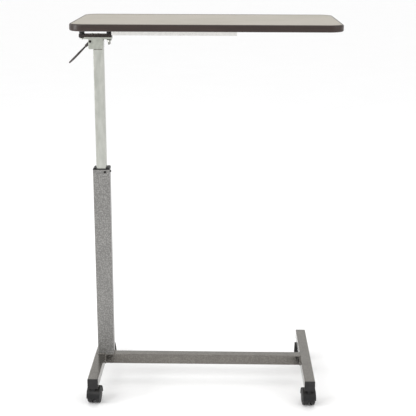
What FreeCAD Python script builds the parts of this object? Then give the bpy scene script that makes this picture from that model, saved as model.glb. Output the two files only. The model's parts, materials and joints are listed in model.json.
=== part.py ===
import FreeCAD, Part
import Sketcher

import math
import os
import re

# Overbed table: a laminate top held at its left end by a chromed column that
# telescopes in a square mast, on an H-shaped base with four swivel casters.
# Millimetres. X runs to the right along the top, Y to the back, Z up.
# The origin is on the floor under the middle of the base.

doc = FreeCAD.newDocument("overbed_table")
sizes = doc.addObject("Spreadsheet::Sheet", "Sizes")
places = doc.addObject("Spreadsheet::Sheet", "Places")
sheet_of = {}
pieces = []

X_AXIS = FreeCAD.Vector(1, 0, 0)
Y_AXIS = FreeCAD.Vector(0, 1, 0)
Z_AXIS = FreeCAD.Vector(0, 0, 1)
TURNS = {
    "X": FreeCAD.Rotation(Y_AXIS, 90),
    "Y": FreeCAD.Rotation(X_AXIS, -90),
    "Z": FreeCAD.Rotation(Z_AXIS, 0),
}


# ---------------------------------------------------------------- the sheets

def fill(sheet, rows):
    """Write one row for each name: the name, its value and its alias."""
    for row, (name, content) in enumerate(rows, 1):
        sheet.set("A%d" % row, name)
        sheet.set("B%d" % row, content)
        sheet.setAlias("B%d" % row, name)
        sheet_of[name] = sheet.Name


def full(expression):
    """Put the sheet's name in front of every alias in an expression."""
    return re.sub(r"[a-z_]+[a-z0-9_]*", lambda word: full_name(word.group()), expression)


def full_name(word):
    return "%s.%s" % (sheet_of[word], word) if word in sheet_of else word


fill(sizes, [
    # tabletop
    ("table_height", "1143"),
    ("top_length", "762"),
    ("top_depth", "381"),
    ("core_thick", "17"),
    ("sheet_thick", "1"),
    ("band_thick", "5"),
    ("band_land", "0.6"),
    ("band_lip", "0.8"),
    ("top_corner", "42"),
    ("top_overhang", "61"),
    # base
    ("base_width", "686"),
    ("foot_length", "406.4"),
    ("tube_side", "31.75"),
    ("tube_wall", "1.6"),
    ("tube_round", "2.5"),
    ("cap_head", "3"),
    ("cap_plug", "7"),
    ("cap_plug_wall", "2.4"),
    ("cap_round", "1.2"),
    # mast and column
    ("column_inset", "35"),
    ("mast_width", "50.8"),
    ("mast_wall", "1.5"),
    ("mast_height", "604"),
    ("column_width", "30"),
    ("column_side_gap", "1.675"),
    ("column_wall", "1.5"),
    ("column_round", "2.2"),
    ("column_overlap", "148"),
    ("column_head_gap", "4"),
    ("foot_plate_thick", "6"),
    ("mast_bolt_spacing", "30"),
    # collar at the mouth of the mast
    ("collar_flange", "3"),
    ("collar_spigot", "25"),
    ("collar_gap", "0.3"),
    ("fit_gap", "0.1"),
    ("left_lug_rise", "3.5"),
    ("right_lug_rise", "4.5"),
    ("left_lug_round", "5.5"),
    ("right_lug_round", "2.5"),
    # bracket on top of the column
    ("bracket_reach", "13"),
    ("bracket_drop", "29"),
    ("bracket_wall", "2.5"),
    ("bracket_round", "4"),
    ("bracket_plate_thick", "6"),
    ("bracket_plate_length", "80"),
    ("bracket_plate_depth", "34"),
    ("plate_overhang", "25"),
    ("strap_thick", "8"),
    ("strap_length", "96"),
    ("strap_depth", "32"),
    ("strap_gap", "22.2"),
    ("strap_round", "4"),
    ("bush_radius", "6.5"),
    ("bush_spread", "17"),
    ("bush_inset", "8"),
    ("bush_foot", "3"),
    # rails under the top
    ("rail_leg", "25.4"),
    ("rail_wall", "2"),
    ("rail_reach", "416"),
    ("rail_tab", "9"),
    ("rail_apart", "5"),
    ("rail_end_gap", "2"),
    ("rail_screw_first", "115"),
    ("rail_screw_step", "100"),
    ("rail_screw_last", "5"),
    # release lever
    ("pivot_clear", "7.6"),
    ("pivot_drop", "6.6"),
    ("pivot_radius", "2.5"),
    ("pin_head_lip", "1.4"),
    ("pin_head_thick", "1.4"),
    ("hub_radius", "5.2"),
    ("lever_droop", "45"),
    ("yoke_width", "23"),
    ("yoke_thick", "8"),
    ("yoke_reach", "20"),
    ("yoke_arm_thick", "5"),
    ("wire_radius", "2.4"),
    ("handle_width", "70"),
    ("handle_reach", "60"),
    ("handle_neck", "15"),
    ("handle_flare", "20"),
    ("handle_bend", "9"),
    # brake and springs
    ("rod_radius", "3"),
    ("rod_head_radius", "5"),
    ("rod_head_thick", "4"),
    ("rod_play", "0.3"),
    ("rod_thread", "10"),
    ("guide_length", "15"),
    ("brake_spring_length", "32"),
    ("brake_wire", "1.2"),
    ("brake_turns", "7"),
    ("housing_length", "60"),
    ("housing_socket", "20"),
    ("housing_gap", "0.3"),
    ("housing_floor", "4"),
    ("pin_end_gap", "0.2"),
    ("shoe_height", "18"),
    ("shoe_depth", "16"),
    ("shoe_gap", "0.1"),
    ("wedge_top", "10"),
    ("wedge_bottom", "15"),
    ("wedge_gap", "3"),
    ("wedge_side_gap", "1.2"),
    ("shoe_drop", "2"),
    ("lift_wire", "2"),
    ("lift_spring_radius", "11"),
    ("lift_turns", "28"),
    # casters
    ("caster_head", "7.15"),
    ("caster_inset", "18"),
    ("caster_trail", "14"),
    ("caster_width", "41"),
    ("wheel_radius", "25"),
    ("wheel_side_gap", "0.7"),
    ("wheel_hub", "9"),
    ("wheel_dish", "3"),
    ("wheel_rim", "5"),
    ("tread_round", "1.8"),
    ("face_bevel", "2.6"),
    ("face_rim", "6"),
    ("face_rim_depth", "1.2"),
    ("groove_start", "7.5"),
    ("groove_end", "9"),
    ("groove_depth", "2.2"),
    ("dome_depth", "0.8"),
    ("dome_radius", "6"),
    ("hood_wall", "2.2"),
    ("hood_gap", "1.2"),
    ("hood_inset", "0.7"),
    ("hood_round", "0.6"),
    ("hood_play", "0.3"),
    ("web_width", "9"),
    ("axle_radius", "3"),
    ("stem_radius", "5.5"),
    ("king_radius", "3"),
    ("socket_wall", "1.2"),
    ("socket_length", "27"),
    ("running_gap", "0.05"),
    ("yaw_front_left", "-5"),
    ("yaw_front_right", "5"),
    ("yaw_back_left", "200"),
    ("yaw_back_right", "175"),
    # fasteners
    ("bolt_radius", "3"),
    ("small_bolt_radius", "2.5"),
    ("screw_radius", "2"),
    ("screw_length", "12"),
    ("screw_neck", "2.6"),
    ("screw_head", "4"),
    ("collar_screw_head", "3.6"),
    ("collar_screw_rise", "3.2"),
    ("collar_screw_tip", "0.3"),
    ("pilot_wall", "1"),
    ("small_head_radius", "4.5"),
    ("small_head_thick", "2.5"),
    ("foot_bolt_radius", "4"),
    ("hole_gap", "0.2"),
    ("bolt_grip", "11"),
    ("bolt_tail", "9"),
    ("bolt_flats", "10"),
    ("bolt_head", "4"),
    ("washer_radius", "8"),
    ("washer_thick", "1"),
    ("foot_bolt_flats", "13"),
    ("foot_bolt_head", "3"),
    ("bush_neck", "4.6"),
    ("strap_screw_spacing", "17"),
    ("yoke_arm_width", "9"),
    ("handle_start", "6"),
    ("notch_depth", "13"),
    ("notch_clear", "2"),
    ("collar_screw_x", "11"),
    ("collar_screw_drop", "7"),
    ("wedge_length", "20"),
    ("brake_spring_radius", "4.4"),
    ("socket_flange", "1.2"),
    ("king_length", "19"),
    ("boss_radius", "9"),
    ("web_wall", "4"),
    ("hood_lift", "2"),
    ("web_drop", "8"),
    ("axle_cover", "4"),
    ("axle_end_gap", "0.4"),
    ("stem_collar", "1.5"),
    ("stem_collar_lip", "2.5"),
    ("socket_lip", "2"),
    ("tip_gap", "1"),
])

fill(places, [
    ("caster_height", "=2 * Sizes.wheel_radius + Sizes.caster_head"),
    ("foot_top", "=caster_height + Sizes.tube_side"),
    ("foot_x", "=(Sizes.base_width - Sizes.tube_side) / 2"),
    ("tube_length", "=Sizes.foot_length - 2 * Sizes.cap_head"),
    ("beam_length", "=Sizes.base_width - 2 * Sizes.tube_side"),
    ("column_x", "=Sizes.column_inset - Sizes.base_width / 2"),
    ("mast_depth", "=Sizes.tube_side"),
    ("mast_bore_width", "=Sizes.mast_width - 2 * Sizes.mast_wall"),
    ("mast_bore_depth", "=Sizes.tube_side - 2 * Sizes.mast_wall"),
    ("column_depth", "=mast_bore_depth - 2 * Sizes.column_side_gap"),
    ("mast_top", "=foot_top + Sizes.mast_height"),
    ("top_x", "=column_x - Sizes.top_overhang + Sizes.top_length / 2"),
    ("band_round", "=Sizes.band_thick - Sizes.band_land"),
    ("laminate_top", "=Sizes.table_height - Sizes.band_lip"),
    ("core_bottom", "=laminate_top - Sizes.sheet_thick - Sizes.core_thick"),
    ("top_bottom", "=core_bottom - Sizes.sheet_thick"),
    ("strap_top", "=top_bottom - Sizes.rail_wall - Sizes.strap_gap"),
    ("strap_bottom", "=strap_top - Sizes.strap_thick"),
    ("plate_bottom", "=strap_bottom - Sizes.bracket_plate_thick"),
    ("column_top", "=plate_bottom - Sizes.column_head_gap"),
    ("column_bottom", "=mast_top - Sizes.column_overlap"),
    ("plate_right", "=column_x + Sizes.column_width / 2 + Sizes.plate_overhang"),
    ("strap_left", "=plate_right - Sizes.strap_length"),
    ("bush_left_x", "=strap_left + Sizes.bush_inset"),
    ("bush_right_x", "=plate_right - Sizes.bush_inset"),
    ("bracket_width", "=Sizes.column_width + Sizes.bracket_reach"),
    ("pivot_offset", "=Sizes.column_width / 2 + Sizes.pivot_clear"),
    ("pivot_x", "=column_x - pivot_offset"),
    ("pivot_z", "=plate_bottom - Sizes.pivot_drop"),
    ("rod_top", "=pivot_z - Sizes.yoke_arm_thick / 2 - Sizes.rod_play"),
    ("wedge_top_z", "=column_bottom - Sizes.wedge_gap"),
    ("shoe_bottom", "=wedge_top_z - Sizes.shoe_drop - Sizes.shoe_height"),
    ("housing_bottom", "=column_bottom + Sizes.housing_socket - Sizes.housing_length"),
    ("foot_plate_top", "=foot_top + Sizes.foot_plate_thick"),
    ("caster_y", "=Sizes.foot_length / 2 - Sizes.caster_inset"),
    ("rail_left", "=strap_left"),
    ("rail_right", "=column_x + Sizes.rail_reach"),
    ("guide_top", "=rod_top - Sizes.rod_head_thick - Sizes.brake_spring_length"),
    ("wedge_slope", "=(Sizes.wedge_bottom - Sizes.wedge_top) / 2 / Sizes.wedge_length"),
    ("socket_radius", "=Sizes.stem_radius + Sizes.socket_wall"),
    ("stem_seat", "=caster_height - Sizes.socket_flange"),
    ("hood_top", "=stem_seat - Sizes.stem_collar - Sizes.hood_play"),
    ("hood_radius", "=Sizes.wheel_radius + Sizes.hood_gap + Sizes.hood_wall"),
    ("wheel_width", "=(Sizes.caster_width - Sizes.web_width) / 2 - Sizes.wheel_side_gap"),
    ("axle_reach", "=Sizes.caster_width / 2 - Sizes.axle_cover"),
])
doc.recompute()


# ------------------------------------------------------------ building blocks

def bind(item, **links):
    """Tie properties to expressions; a double underscore stands for a dot."""
    for name, expression in links.items():
        item.setExpression(name.replace("__", "."), full(str(expression)))


def place(item, x="0", y="0", z="0"):
    bind(item, Placement__Base__x=x, Placement__Base__y=y, Placement__Base__z=z)
    return item


def piece(item, label):
    """Name a finished sub-part, so that it is checked and written out."""
    item.Label = label
    pieces.append(item)
    return item


def block(length, width, height, x="0", y="0", z="0"):
    """A box centred on x and y, standing on z."""
    item = doc.addObject("Part::Box", "block")
    bind(item, Length=length, Width=width, Height=height)
    return place(item, "%s - (%s) / 2" % (x, length), "%s - (%s) / 2" % (y, width), z)


def rod(radius, length, x="0", y="0", z="0", along="Z"):
    """A round bar that starts at x, y, z and runs along an axis."""
    item = doc.addObject("Part::Cylinder", "rod")
    item.Placement = FreeCAD.Placement(FreeCAD.Vector(), TURNS[along])
    bind(item, Radius=radius, Height=length)
    return place(item, x, y, z)


def hexagon(flats, height, x="0", y="0", z="0", along="Z"):
    """A hexagonal head, given its width across the flats."""
    item = doc.addObject("Part::Prism", "hexagon")
    item.Polygon = 6
    item.Placement = FreeCAD.Placement(FreeCAD.Vector(), TURNS[along])
    bind(item, Circumradius="(%s) / sqrt(3)" % flats, Height=height)
    return place(item, x, y, z)


def cut(base, tool):
    item = doc.addObject("Part::Cut", "cut")
    item.Base = base
    item.Tool = tool
    return item


def fuse(*solids):
    item = doc.addObject("Part::MultiFuse", "fuse")
    item.Shapes = list(solids)
    return item


def group(*solids):
    item = doc.addObject("Part::Compound", "group")
    item.Links = list(solids)
    return item


def new_body(label):
    item = doc.addObject("PartDesign::Body", "body")
    return piece(item, label)


def new_sketch(body, plane, lift="0"):
    """A sketch on one of the body's own planes, lifted along its normal."""
    face = next(item for item in body.Origin.OriginFeatures if item.Role == plane)
    sketch = body.newObject("Sketcher::SketchObject", "sketch")
    sketch.AttachmentSupport = [(face, "")]
    sketch.MapMode = "FlatFace"
    bind(sketch, AttachmentOffset__Base__z=lift)
    return sketch


def fix_point(sketch, element, end, x, y):
    """Hold one point of a sketch at x, y from the sketch's origin."""
    for kind, expression in (("DistanceX", x), ("DistanceY", y)):
        number = sketch.addConstraint(Sketcher.Constraint(kind, -1, 1, element, end, 1.0))
        sketch.setExpression("Constraints[%d]" % number, full(str(expression)))


def outline(sketch, corners):
    """A closed outline of straight lines through the corners."""
    first = sketch.GeometryCount
    count = len(corners)
    start = [FreeCAD.Vector(10 * math.cos(2 * math.pi * i / count),
                            10 * math.sin(2 * math.pi * i / count), 0) for i in range(count)]
    for i in range(count):
        sketch.addGeometry(Part.LineSegment(start[i], start[(i + 1) % count]), False)
    for i in range(count):
        following = first + (i + 1) % count
        sketch.addConstraint(Sketcher.Constraint("Coincident", first + i, 2, following, 1))
    for i, (x, y) in enumerate(corners):
        fix_point(sketch, first + i, 1, x, y)


def rectangle(sketch, width, height, x="0", y="0"):
    """A rectangle centred on x, y."""
    left = "%s - (%s) / 2" % (x, width)
    right = "%s + (%s) / 2" % (x, width)
    low = "%s - (%s) / 2" % (y, height)
    high = "%s + (%s) / 2" % (y, height)
    outline(sketch, [(left, low), (right, low), (right, high), (left, high)])


def circle(sketch, radius, x="0", y="0"):
    element = sketch.addGeometry(Part.Circle(FreeCAD.Vector(1, 1, 0), Z_AXIS, 1), False)
    fix_point(sketch, element, 3, x, y)
    number = sketch.addConstraint(Sketcher.Constraint("Radius", element, 1.0))
    sketch.setExpression("Constraints[%d]" % number, full(str(radius)))


def feature(body, kind, sketch, **links):
    item = body.newObject("PartDesign::" + kind, kind.lower())
    item.Profile = sketch
    bind(item, **links)
    sketch.Visibility = False
    return item


def pad(body, sketch, length, middle=False, back=False):
    item = feature(body, "Pad", sketch, Length=length)
    item.Midplane = middle
    item.Reversed = back
    doc.recompute()
    return item


def pocket(body, sketch, length, middle=False, back=False):
    """Cut a sketch out of a body, and make sure that it took something away."""
    before = body.Shape.Volume
    item = feature(body, "Pocket", sketch, Length=length)
    item.Midplane = middle
    item.Reversed = back
    doc.recompute()
    if body.Shape.Volume > before - 0.01:
        raise RuntimeError("a pocket in %s cuts nothing" % body.Label)
    return item


def spin(body, sketch, axis):
    """Turn a sketch all the way round one of its own axes."""
    item = feature(body, "Revolution", sketch)
    item.ReferenceAxis = (sketch, [axis])
    item.Angle = 360
    doc.recompute()
    return item


def ease(body, radius, chosen, kind="Fillet"):
    """Round or bevel the edges of a body's tip that the test chooses."""
    base = body.Tip
    names = ["Edge%d" % (i + 1) for i, edge in enumerate(base.Shape.Edges) if chosen(edge)]
    if not names:
        raise RuntimeError("no edge chosen on %s" % body.Label)
    item = body.newObject("PartDesign::" + kind, kind.lower())
    item.Base = (base, names)
    bind(item, **{"Radius" if kind == "Fillet" else "Size": radius})
    doc.recompute()
    return item


def runs_along(axis):
    """A test for straight edges parallel to an axis."""
    def test(edge):
        if not isinstance(edge.Curve, Part.Line):
            return False
        return abs(abs(edge.Curve.Direction.dot(axis)) - 1) < 1e-6
    return test


def lies_at(axis, *levels):
    """A test for edges that lie at one of the given levels along an axis."""
    def test(edge):
        ends = edge.BoundBox
        low = FreeCAD.Vector(ends.XMin, ends.YMin, ends.ZMin).dot(axis)
        high = FreeCAD.Vector(ends.XMax, ends.YMax, ends.ZMax).dot(axis)
        return high - low < 1e-4 and any(abs(low - level) < 1e-3 for level in levels)
    return test


def value(name):
    """The number that a sheet holds under a name."""
    return float(doc.getObject(sheet_of[name]).get(name))


# ------------------------------------------------------------------ tabletop

def slab(label, thick, level):
    """A flat rounded slab that fills the edge band."""
    body = new_body(label)
    profile = new_sketch(body, "XY_Plane")
    rectangle(profile, "top_length - 2 * band_thick", "top_depth - 2 * band_thick")
    pad(body, profile, thick)
    ease(body, "top_corner - band_thick", runs_along(Z_AXIS))
    return place(body, "top_x", "0", level)


def make_core():
    """The chipboard core, drilled for the strap bolts and the rail screws."""
    body = slab("tabletop_core", "core_thick", "core_bottom")
    bolts = new_sketch(body, "XY_Plane")
    for x in ("bush_left_x", "bush_right_x"):
        for side in (-1, 1):
            circle(bolts, "bolt_radius", "%s - top_x" % x, "%d * bush_spread / 2" % side)
    pocket(body, bolts, "bolt_grip", back=True)
    screws = new_sketch(body, "XY_Plane")
    for x, y in rail_screw_places():
        circle(screws, "screw_radius", "%s - top_x" % x, y)
    pocket(body, screws, "screw_length", back=True)


def make_backing():
    """The balancing sheet under the core."""
    body = slab("backing_sheet", "sheet_thick", "top_bottom")
    holes = new_sketch(body, "XY_Plane")
    for x in ("bush_left_x", "bush_right_x"):
        for side in (-1, 1):
            circle(holes, "bolt_radius + hole_gap", "%s - top_x" % x, "%d * bush_spread / 2" % side)
    for x, y in rail_screw_places():
        circle(holes, "screw_radius + hole_gap", "%s - top_x" % x, y)
    pocket(body, holes, "sheet_thick", back=True)


def make_edge_band():
    """The bullnose strip all round the top."""
    body = new_body("edge_band")
    profile = new_sketch(body, "XY_Plane")
    rectangle(profile, "top_length", "top_depth")
    rectangle(profile, "top_length - 2 * band_thick", "top_depth - 2 * band_thick")
    pad(body, profile, "table_height - top_bottom")
    limit = value("top_length") / 2 - value("band_thick") / 2
    upright = runs_along(Z_AXIS)
    ease(body, "top_corner - band_thick", lambda edge: upright(edge) and abs(edge.BoundBox.XMin) < limit)
    ease(body, "top_corner", lambda edge: upright(edge) and is_corner(edge))
    flat = lies_at(Z_AXIS, 0, value("table_height") - value("top_bottom"))
    ease(body, "band_round", lambda edge: flat(edge) and is_outer(edge))
    place(body, "top_x", "0", "top_bottom")


def is_corner(edge):
    """True for the sharp outer corners of the edge band."""
    x = abs(edge.BoundBox.XMin) - value("top_length") / 2
    y = abs(edge.BoundBox.YMin) - value("top_depth") / 2
    return abs(x) < 1e-3 and abs(y) < 1e-3


def is_outer(edge):
    """True for edges on the outside of the edge band."""
    middle = edge.valueAt((edge.FirstParameter + edge.LastParameter) / 2)
    half_x = value("top_length") / 2
    half_y = value("top_depth") / 2
    bend = value("top_corner")
    off_x = max(abs(middle.x) - (half_x - bend), 0)
    off_y = max(abs(middle.y) - (half_y - bend), 0)
    return math.hypot(off_x, off_y) > bend - value("band_thick") / 2


# --------------------------------------------------- rails, strap and bracket

def rail_screw_places():
    """Where the wood screws hold the rails: a row along each rail."""
    row = ["rail_left + rail_screw_first + %d * rail_screw_step" % step for step in range(3)]
    row.append("rail_right - rail_screw_last")
    line = "(rail_apart / 2 + rail_leg * 0.55)"
    return [(x, "%d * %s" % (side, line)) for x in row for side in (-1, 1)]


def make_rail(label, side):
    """A steel angle under the top; its upright leg is cut back at both ends."""
    body = new_body(label)
    flat = new_sketch(body, "YZ_Plane")
    middle = "%d * (rail_apart + rail_leg) / 2" % side
    rectangle(flat, "rail_leg", "rail_wall", middle, "-rail_wall / 2")
    pad(body, flat, "rail_right - rail_left")
    leg = new_sketch(body, "YZ_Plane", "plate_right + rail_end_gap - rail_left")
    line = "%d * (rail_apart / 2 + rail_leg - rail_wall / 2)" % side
    rectangle(leg, "rail_wall", "rail_leg", line, "-rail_leg / 2")
    pad(body, leg, "rail_right - rail_tab - plate_right - rail_end_gap")
    holes = new_sketch(body, "XY_Plane")
    for x in ("bush_left_x", "bush_right_x"):
        circle(holes, "bolt_radius + hole_gap", "%s - rail_left" % x, "%d * bush_spread / 2" % side)
    for x, y in rail_screw_places():
        if y.startswith("%d " % side):
            circle(holes, "screw_radius + hole_gap", "%s - rail_left" % x, y)
    pocket(body, holes, "rail_wall")
    place(body, "rail_left", "0", "top_bottom")


def make_rail_screws():
    solids = []
    for x, y in rail_screw_places():
        head = doc.addObject("Part::Cone", "head")
        bind(head, Radius1="screw_neck", Radius2="screw_head", Height="screw_radius")
        place(head, x, y, "top_bottom - rail_wall - screw_radius")
        shank = rod("screw_radius", "screw_radius + rail_wall + sheet_thick + screw_length - tip_gap",
                    x, y, "top_bottom - rail_wall - screw_radius")
        solids.append(fuse(head, shank))
    piece(group(*solids), "rail_screws")


def make_strap():
    """The dark mounting strap, bolted under the rails through rubber bushes."""
    body = new_body("mounting_strap")
    profile = new_sketch(body, "XY_Plane")
    rectangle(profile, "strap_length", "strap_depth", "-strap_length / 2")
    pad(body, profile, "strap_thick")
    ease(body, "strap_round", runs_along(Z_AXIS))
    holes = new_sketch(body, "XY_Plane")
    for x in ("bush_left_x", "bush_right_x"):
        for side in (-1, 1):
            circle(holes, "bush_neck + hole_gap", "%s - plate_right" % x, "%d * bush_spread / 2" % side)
    for x in strap_screw_places():
        circle(holes, "small_bolt_radius + hole_gap", "%s - plate_right" % x)
    pocket(body, holes, "strap_thick", back=True)
    place(body, "plate_right", "0", "strap_bottom")


def strap_screw_places():
    return ["column_x - strap_screw_spacing", "column_x"]


def make_strap_screws():
    solids = []
    for x in strap_screw_places():
        head = rod("small_head_radius", "small_head_thick", x, "0", "strap_top")
        shank = rod("small_bolt_radius", "strap_thick + bracket_plate_thick", x, "0", "plate_bottom")
        solids.append(fuse(head, shank))
    piece(group(*solids), "strap_screws")


def make_bushes_and_bolts():
    """Rubber bushes under the rails: bolts at the left, studs with nuts at the right."""
    bushes = []
    bolts = []
    for x, under in (("bush_left_x", "strap_bottom"), ("bush_right_x", "plate_bottom")):
        for side in (-1, 1):
            y = "%d * bush_spread / 2" % side
            spool = rod("bush_radius", "strap_gap", x, y, "strap_top")
            neck = rod("bush_neck", "strap_top - %s" % under, x, y, under)
            foot = rod("bush_radius", "bush_foot", x, y, "%s - bush_foot" % under)
            bore = rod("bolt_radius + hole_gap", "strap_gap + strap_top - %s + bush_foot" % under,
                       x, y, "%s - bush_foot" % under)
            bushes.append(cut(fuse(spool, neck, foot), bore))
            head = hexagon("bolt_flats", "bolt_head", x, y, "%s - bush_foot - bolt_head" % under)
            tail = "bolt_head + bolt_tail" if under == "plate_bottom" else "0"
            low = "%s - bush_foot - (%s)" % (under, tail)
            shank = rod("bolt_radius", "core_bottom + bolt_grip - (%s)" % low, x, y, low)
            bolts.append(fuse(head, shank))
    piece(group(*bushes), "strap_bushes")
    piece(group(*bolts), "strap_bolts")


def make_bracket():
    """The bright steel bracket welded over the head of the column."""
    body = new_body("column_bracket")
    cheeks = new_sketch(body, "YZ_Plane")
    for side in (-1, 1):
        line = "%d * (column_depth + bracket_wall) / 2" % side
        rectangle(cheeks, "bracket_wall", "bracket_drop", line, "-bracket_drop / 2")
    pad(body, cheeks, "bracket_width", back=True)
    ease(body, "bracket_round", lambda edge: runs_along(Y_AXIS)(edge) and edge.BoundBox.ZMax < -1)
    roof = new_sketch(body, "XY_Plane")
    rectangle(roof, "bracket_plate_length", "bracket_plate_depth",
              "plate_right - column_x - column_width / 2 - bracket_plate_length / 2")
    pad(body, roof, "bracket_plate_thick")
    pivot = new_sketch(body, "XZ_Plane")
    circle(pivot, "pivot_radius + running_gap", "-pivot_offset - column_width / 2", "-pivot_drop")
    pocket(body, pivot, "column_depth + 4 * bracket_wall", middle=True)
    holes = new_sketch(body, "XY_Plane")
    for side in (-1, 1):
        circle(holes, "bush_neck + hole_gap", "bush_right_x - column_x - column_width / 2",
               "%d * bush_spread / 2" % side)
    for x in strap_screw_places():
        circle(holes, "small_bolt_radius + running_gap", "%s - column_x - column_width / 2" % x)
    pocket(body, holes, "bracket_plate_thick", back=True)
    place(body, "column_x + column_width / 2", "0", "plate_bottom")


# -------------------------------------------------------------- release lever

def make_yoke():
    """The steel lever that turns on the pin, holds the handle and pushes the rod."""
    hub = rod("hub_radius", "yoke_width", "pivot_x", "-yoke_width / 2", "pivot_z", "Y")
    arm = block("pivot_offset", "yoke_arm_width", "yoke_arm_thick",
                "pivot_x + pivot_offset / 2", "0", "pivot_z - yoke_arm_thick / 2")
    nose = rod("yoke_arm_thick / 2", "yoke_arm_width", "column_x", "-yoke_arm_width / 2", "pivot_z", "Y")
    tongue = doc.addObject("Part::Box", "tongue")
    bind(tongue, Length="yoke_reach", Width="yoke_width", Height="yoke_thick")
    tongue.Placement = FreeCAD.Placement(FreeCAD.Vector(), FreeCAD.Rotation(Y_AXIS, 0))
    bind(tongue, Placement__Rotation__Angle="180 - lever_droop")
    slope_x = "cos(lever_droop * 1deg)"
    slope_z = "sin(lever_droop * 1deg)"
    place(tongue, "pivot_x - yoke_thick / 2 * %s" % slope_z, "-yoke_width / 2",
          "pivot_z + yoke_thick / 2 * %s" % slope_x)
    solid = fuse(hub, arm, nose, tongue)
    bores = [rod("pivot_radius + running_gap", "yoke_width", "pivot_x", "-yoke_width / 2", "pivot_z", "Y")]
    for side in (-1, 1):
        bore = doc.addObject("Part::Cylinder", "bore")
        bore.Placement = FreeCAD.Placement(FreeCAD.Vector(), FreeCAD.Rotation(Y_AXIS, -90))
        bind(bore, Radius="wire_radius", Height="yoke_reach")
        bind(bore, Placement__Rotation__Angle="-(90 + lever_droop)")
        place(bore, "pivot_x - handle_start * %s" % slope_x, "%d * handle_neck / 2" % side,
              "pivot_z - handle_start * %s" % slope_z)
        bores.append(bore)
    piece(cut(solid, fuse(*bores)), "lever_yoke")


def bent_path(points, radius):
    """Straight runs joined by tangent arcs of one radius."""
    edges = []
    last = points[0]
    for before, corner, after in zip(points, points[1:], points[2:]):
        toward = (before - corner).normalize()
        away = (after - corner).normalize()
        half = toward.getAngle(away) / 2
        reach = radius / math.tan(half)
        middle = corner + (toward + away).normalize() * (radius / math.sin(half) - radius)
        edges.append(Part.LineSegment(last, corner + toward * reach).toShape())
        edges.append(Part.Arc(corner + toward * reach, middle, corner + away * reach).toShape())
        last = corner + away * reach
    edges.append(Part.LineSegment(last, points[-1]).toShape())
    return Part.Wire(edges)


def make_handle():
    """The bent wire handle: two shanks in the yoke that flare to a wide grip."""
    neck = value("handle_neck") / 2
    wide = value("handle_width") / 2
    start = value("handle_start")
    flare = start + value("yoke_reach")
    end = value("handle_reach") / math.cos(math.radians(value("lever_droop")))
    half = [(start, neck), (flare, neck), (flare + value("handle_flare"), wide), (end, wide)]
    points = [FreeCAD.Vector(-u, v, 0) for u, v in half]
    points += [FreeCAD.Vector(-u, -v, 0) for u, v in reversed(half)]
    path = bent_path(points, value("handle_bend"))
    section = Part.Circle(points[0], X_AXIS, value("wire_radius")).toShape()
    sweep = path.makePipeShell([Part.Wire(section)], True, False)
    handle = doc.addObject("Part::Feature", "handle")
    handle.Shape = sweep
    handle.Placement = FreeCAD.Placement(FreeCAD.Vector(), FreeCAD.Rotation(Y_AXIS, -45))
    bind(handle, Placement__Rotation__Angle="-lever_droop")
    place(handle, "pivot_x", "0", "pivot_z")
    piece(handle, "release_handle")


def make_lever_pin():
    reach = "column_depth / 2 + bracket_wall"
    shank = rod("pivot_radius", "2 * (%s)" % reach, "pivot_x", "-(%s)" % reach, "pivot_z", "Y")
    head = ("pivot_radius + pin_head_lip", "pin_head_thick", "pivot_x")
    front = rod(*head, "-(%s) - pin_head_thick" % reach, "pivot_z", "Y")
    back = rod(*head, reach, "pivot_z", "Y")
    piece(fuse(shank, front, back), "lever_pin")


# ------------------------------------------------------------ column and mast

def make_column():
    """The chromed inner tube, notched at the top left for the lever's arm."""
    body = new_body("inner_column")
    profile = new_sketch(body, "XY_Plane")
    rectangle(profile, "column_width", "column_depth")
    rectangle(profile, "column_width - 2 * column_wall", "column_depth - 2 * column_wall")
    pad(body, profile, "column_top - column_bottom")
    upright = runs_along(Z_AXIS)
    edge_x = value("column_width") / 2
    ease(body, "column_round", lambda edge: upright(edge) and abs(abs(edge.BoundBox.XMin) - edge_x) < 1e-3)
    notch = new_sketch(body, "YZ_Plane", "-column_width / 2")
    rectangle(notch, "yoke_arm_width + 2 * notch_clear", "notch_depth",
              "0", "column_top - column_bottom - notch_depth / 2")
    pocket(body, notch, "2 * column_wall", back=True)
    pins = new_sketch(body, "XZ_Plane")
    for side in (-1, 1):
        circle(pins, "screw_radius", "%d * column_width / 4" % side, "housing_socket / 2")
    pocket(body, pins, "mast_depth", middle=True)
    place(body, "column_x", "0", "column_bottom")


def make_mast():
    """The square-edged outer tube that stands on the left foot and the beam."""
    body = new_body("outer_mast")
    profile = new_sketch(body, "XY_Plane")
    rectangle(profile, "mast_width", "mast_depth")
    rectangle(profile, "mast_bore_width", "mast_bore_depth")
    pad(body, profile, "mast_height")
    upright = runs_along(Z_AXIS)
    edge_x = value("mast_width") / 2
    ease(body, "tube_round", lambda edge: upright(edge) and abs(abs(edge.BoundBox.XMin) - edge_x) < 1e-3)
    front = new_sketch(body, "XZ_Plane")
    circle(front, "screw_radius + hole_gap", "collar_screw_x", "mast_height - collar_screw_drop")
    pocket(body, front, "mast_depth", back=True)
    side = new_sketch(body, "YZ_Plane")
    circle(side, "screw_radius + hole_gap", "0", "mast_height - collar_screw_drop")
    pocket(body, side, "mast_width", back=True)
    place(body, "column_x", "0", "foot_top")


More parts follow.
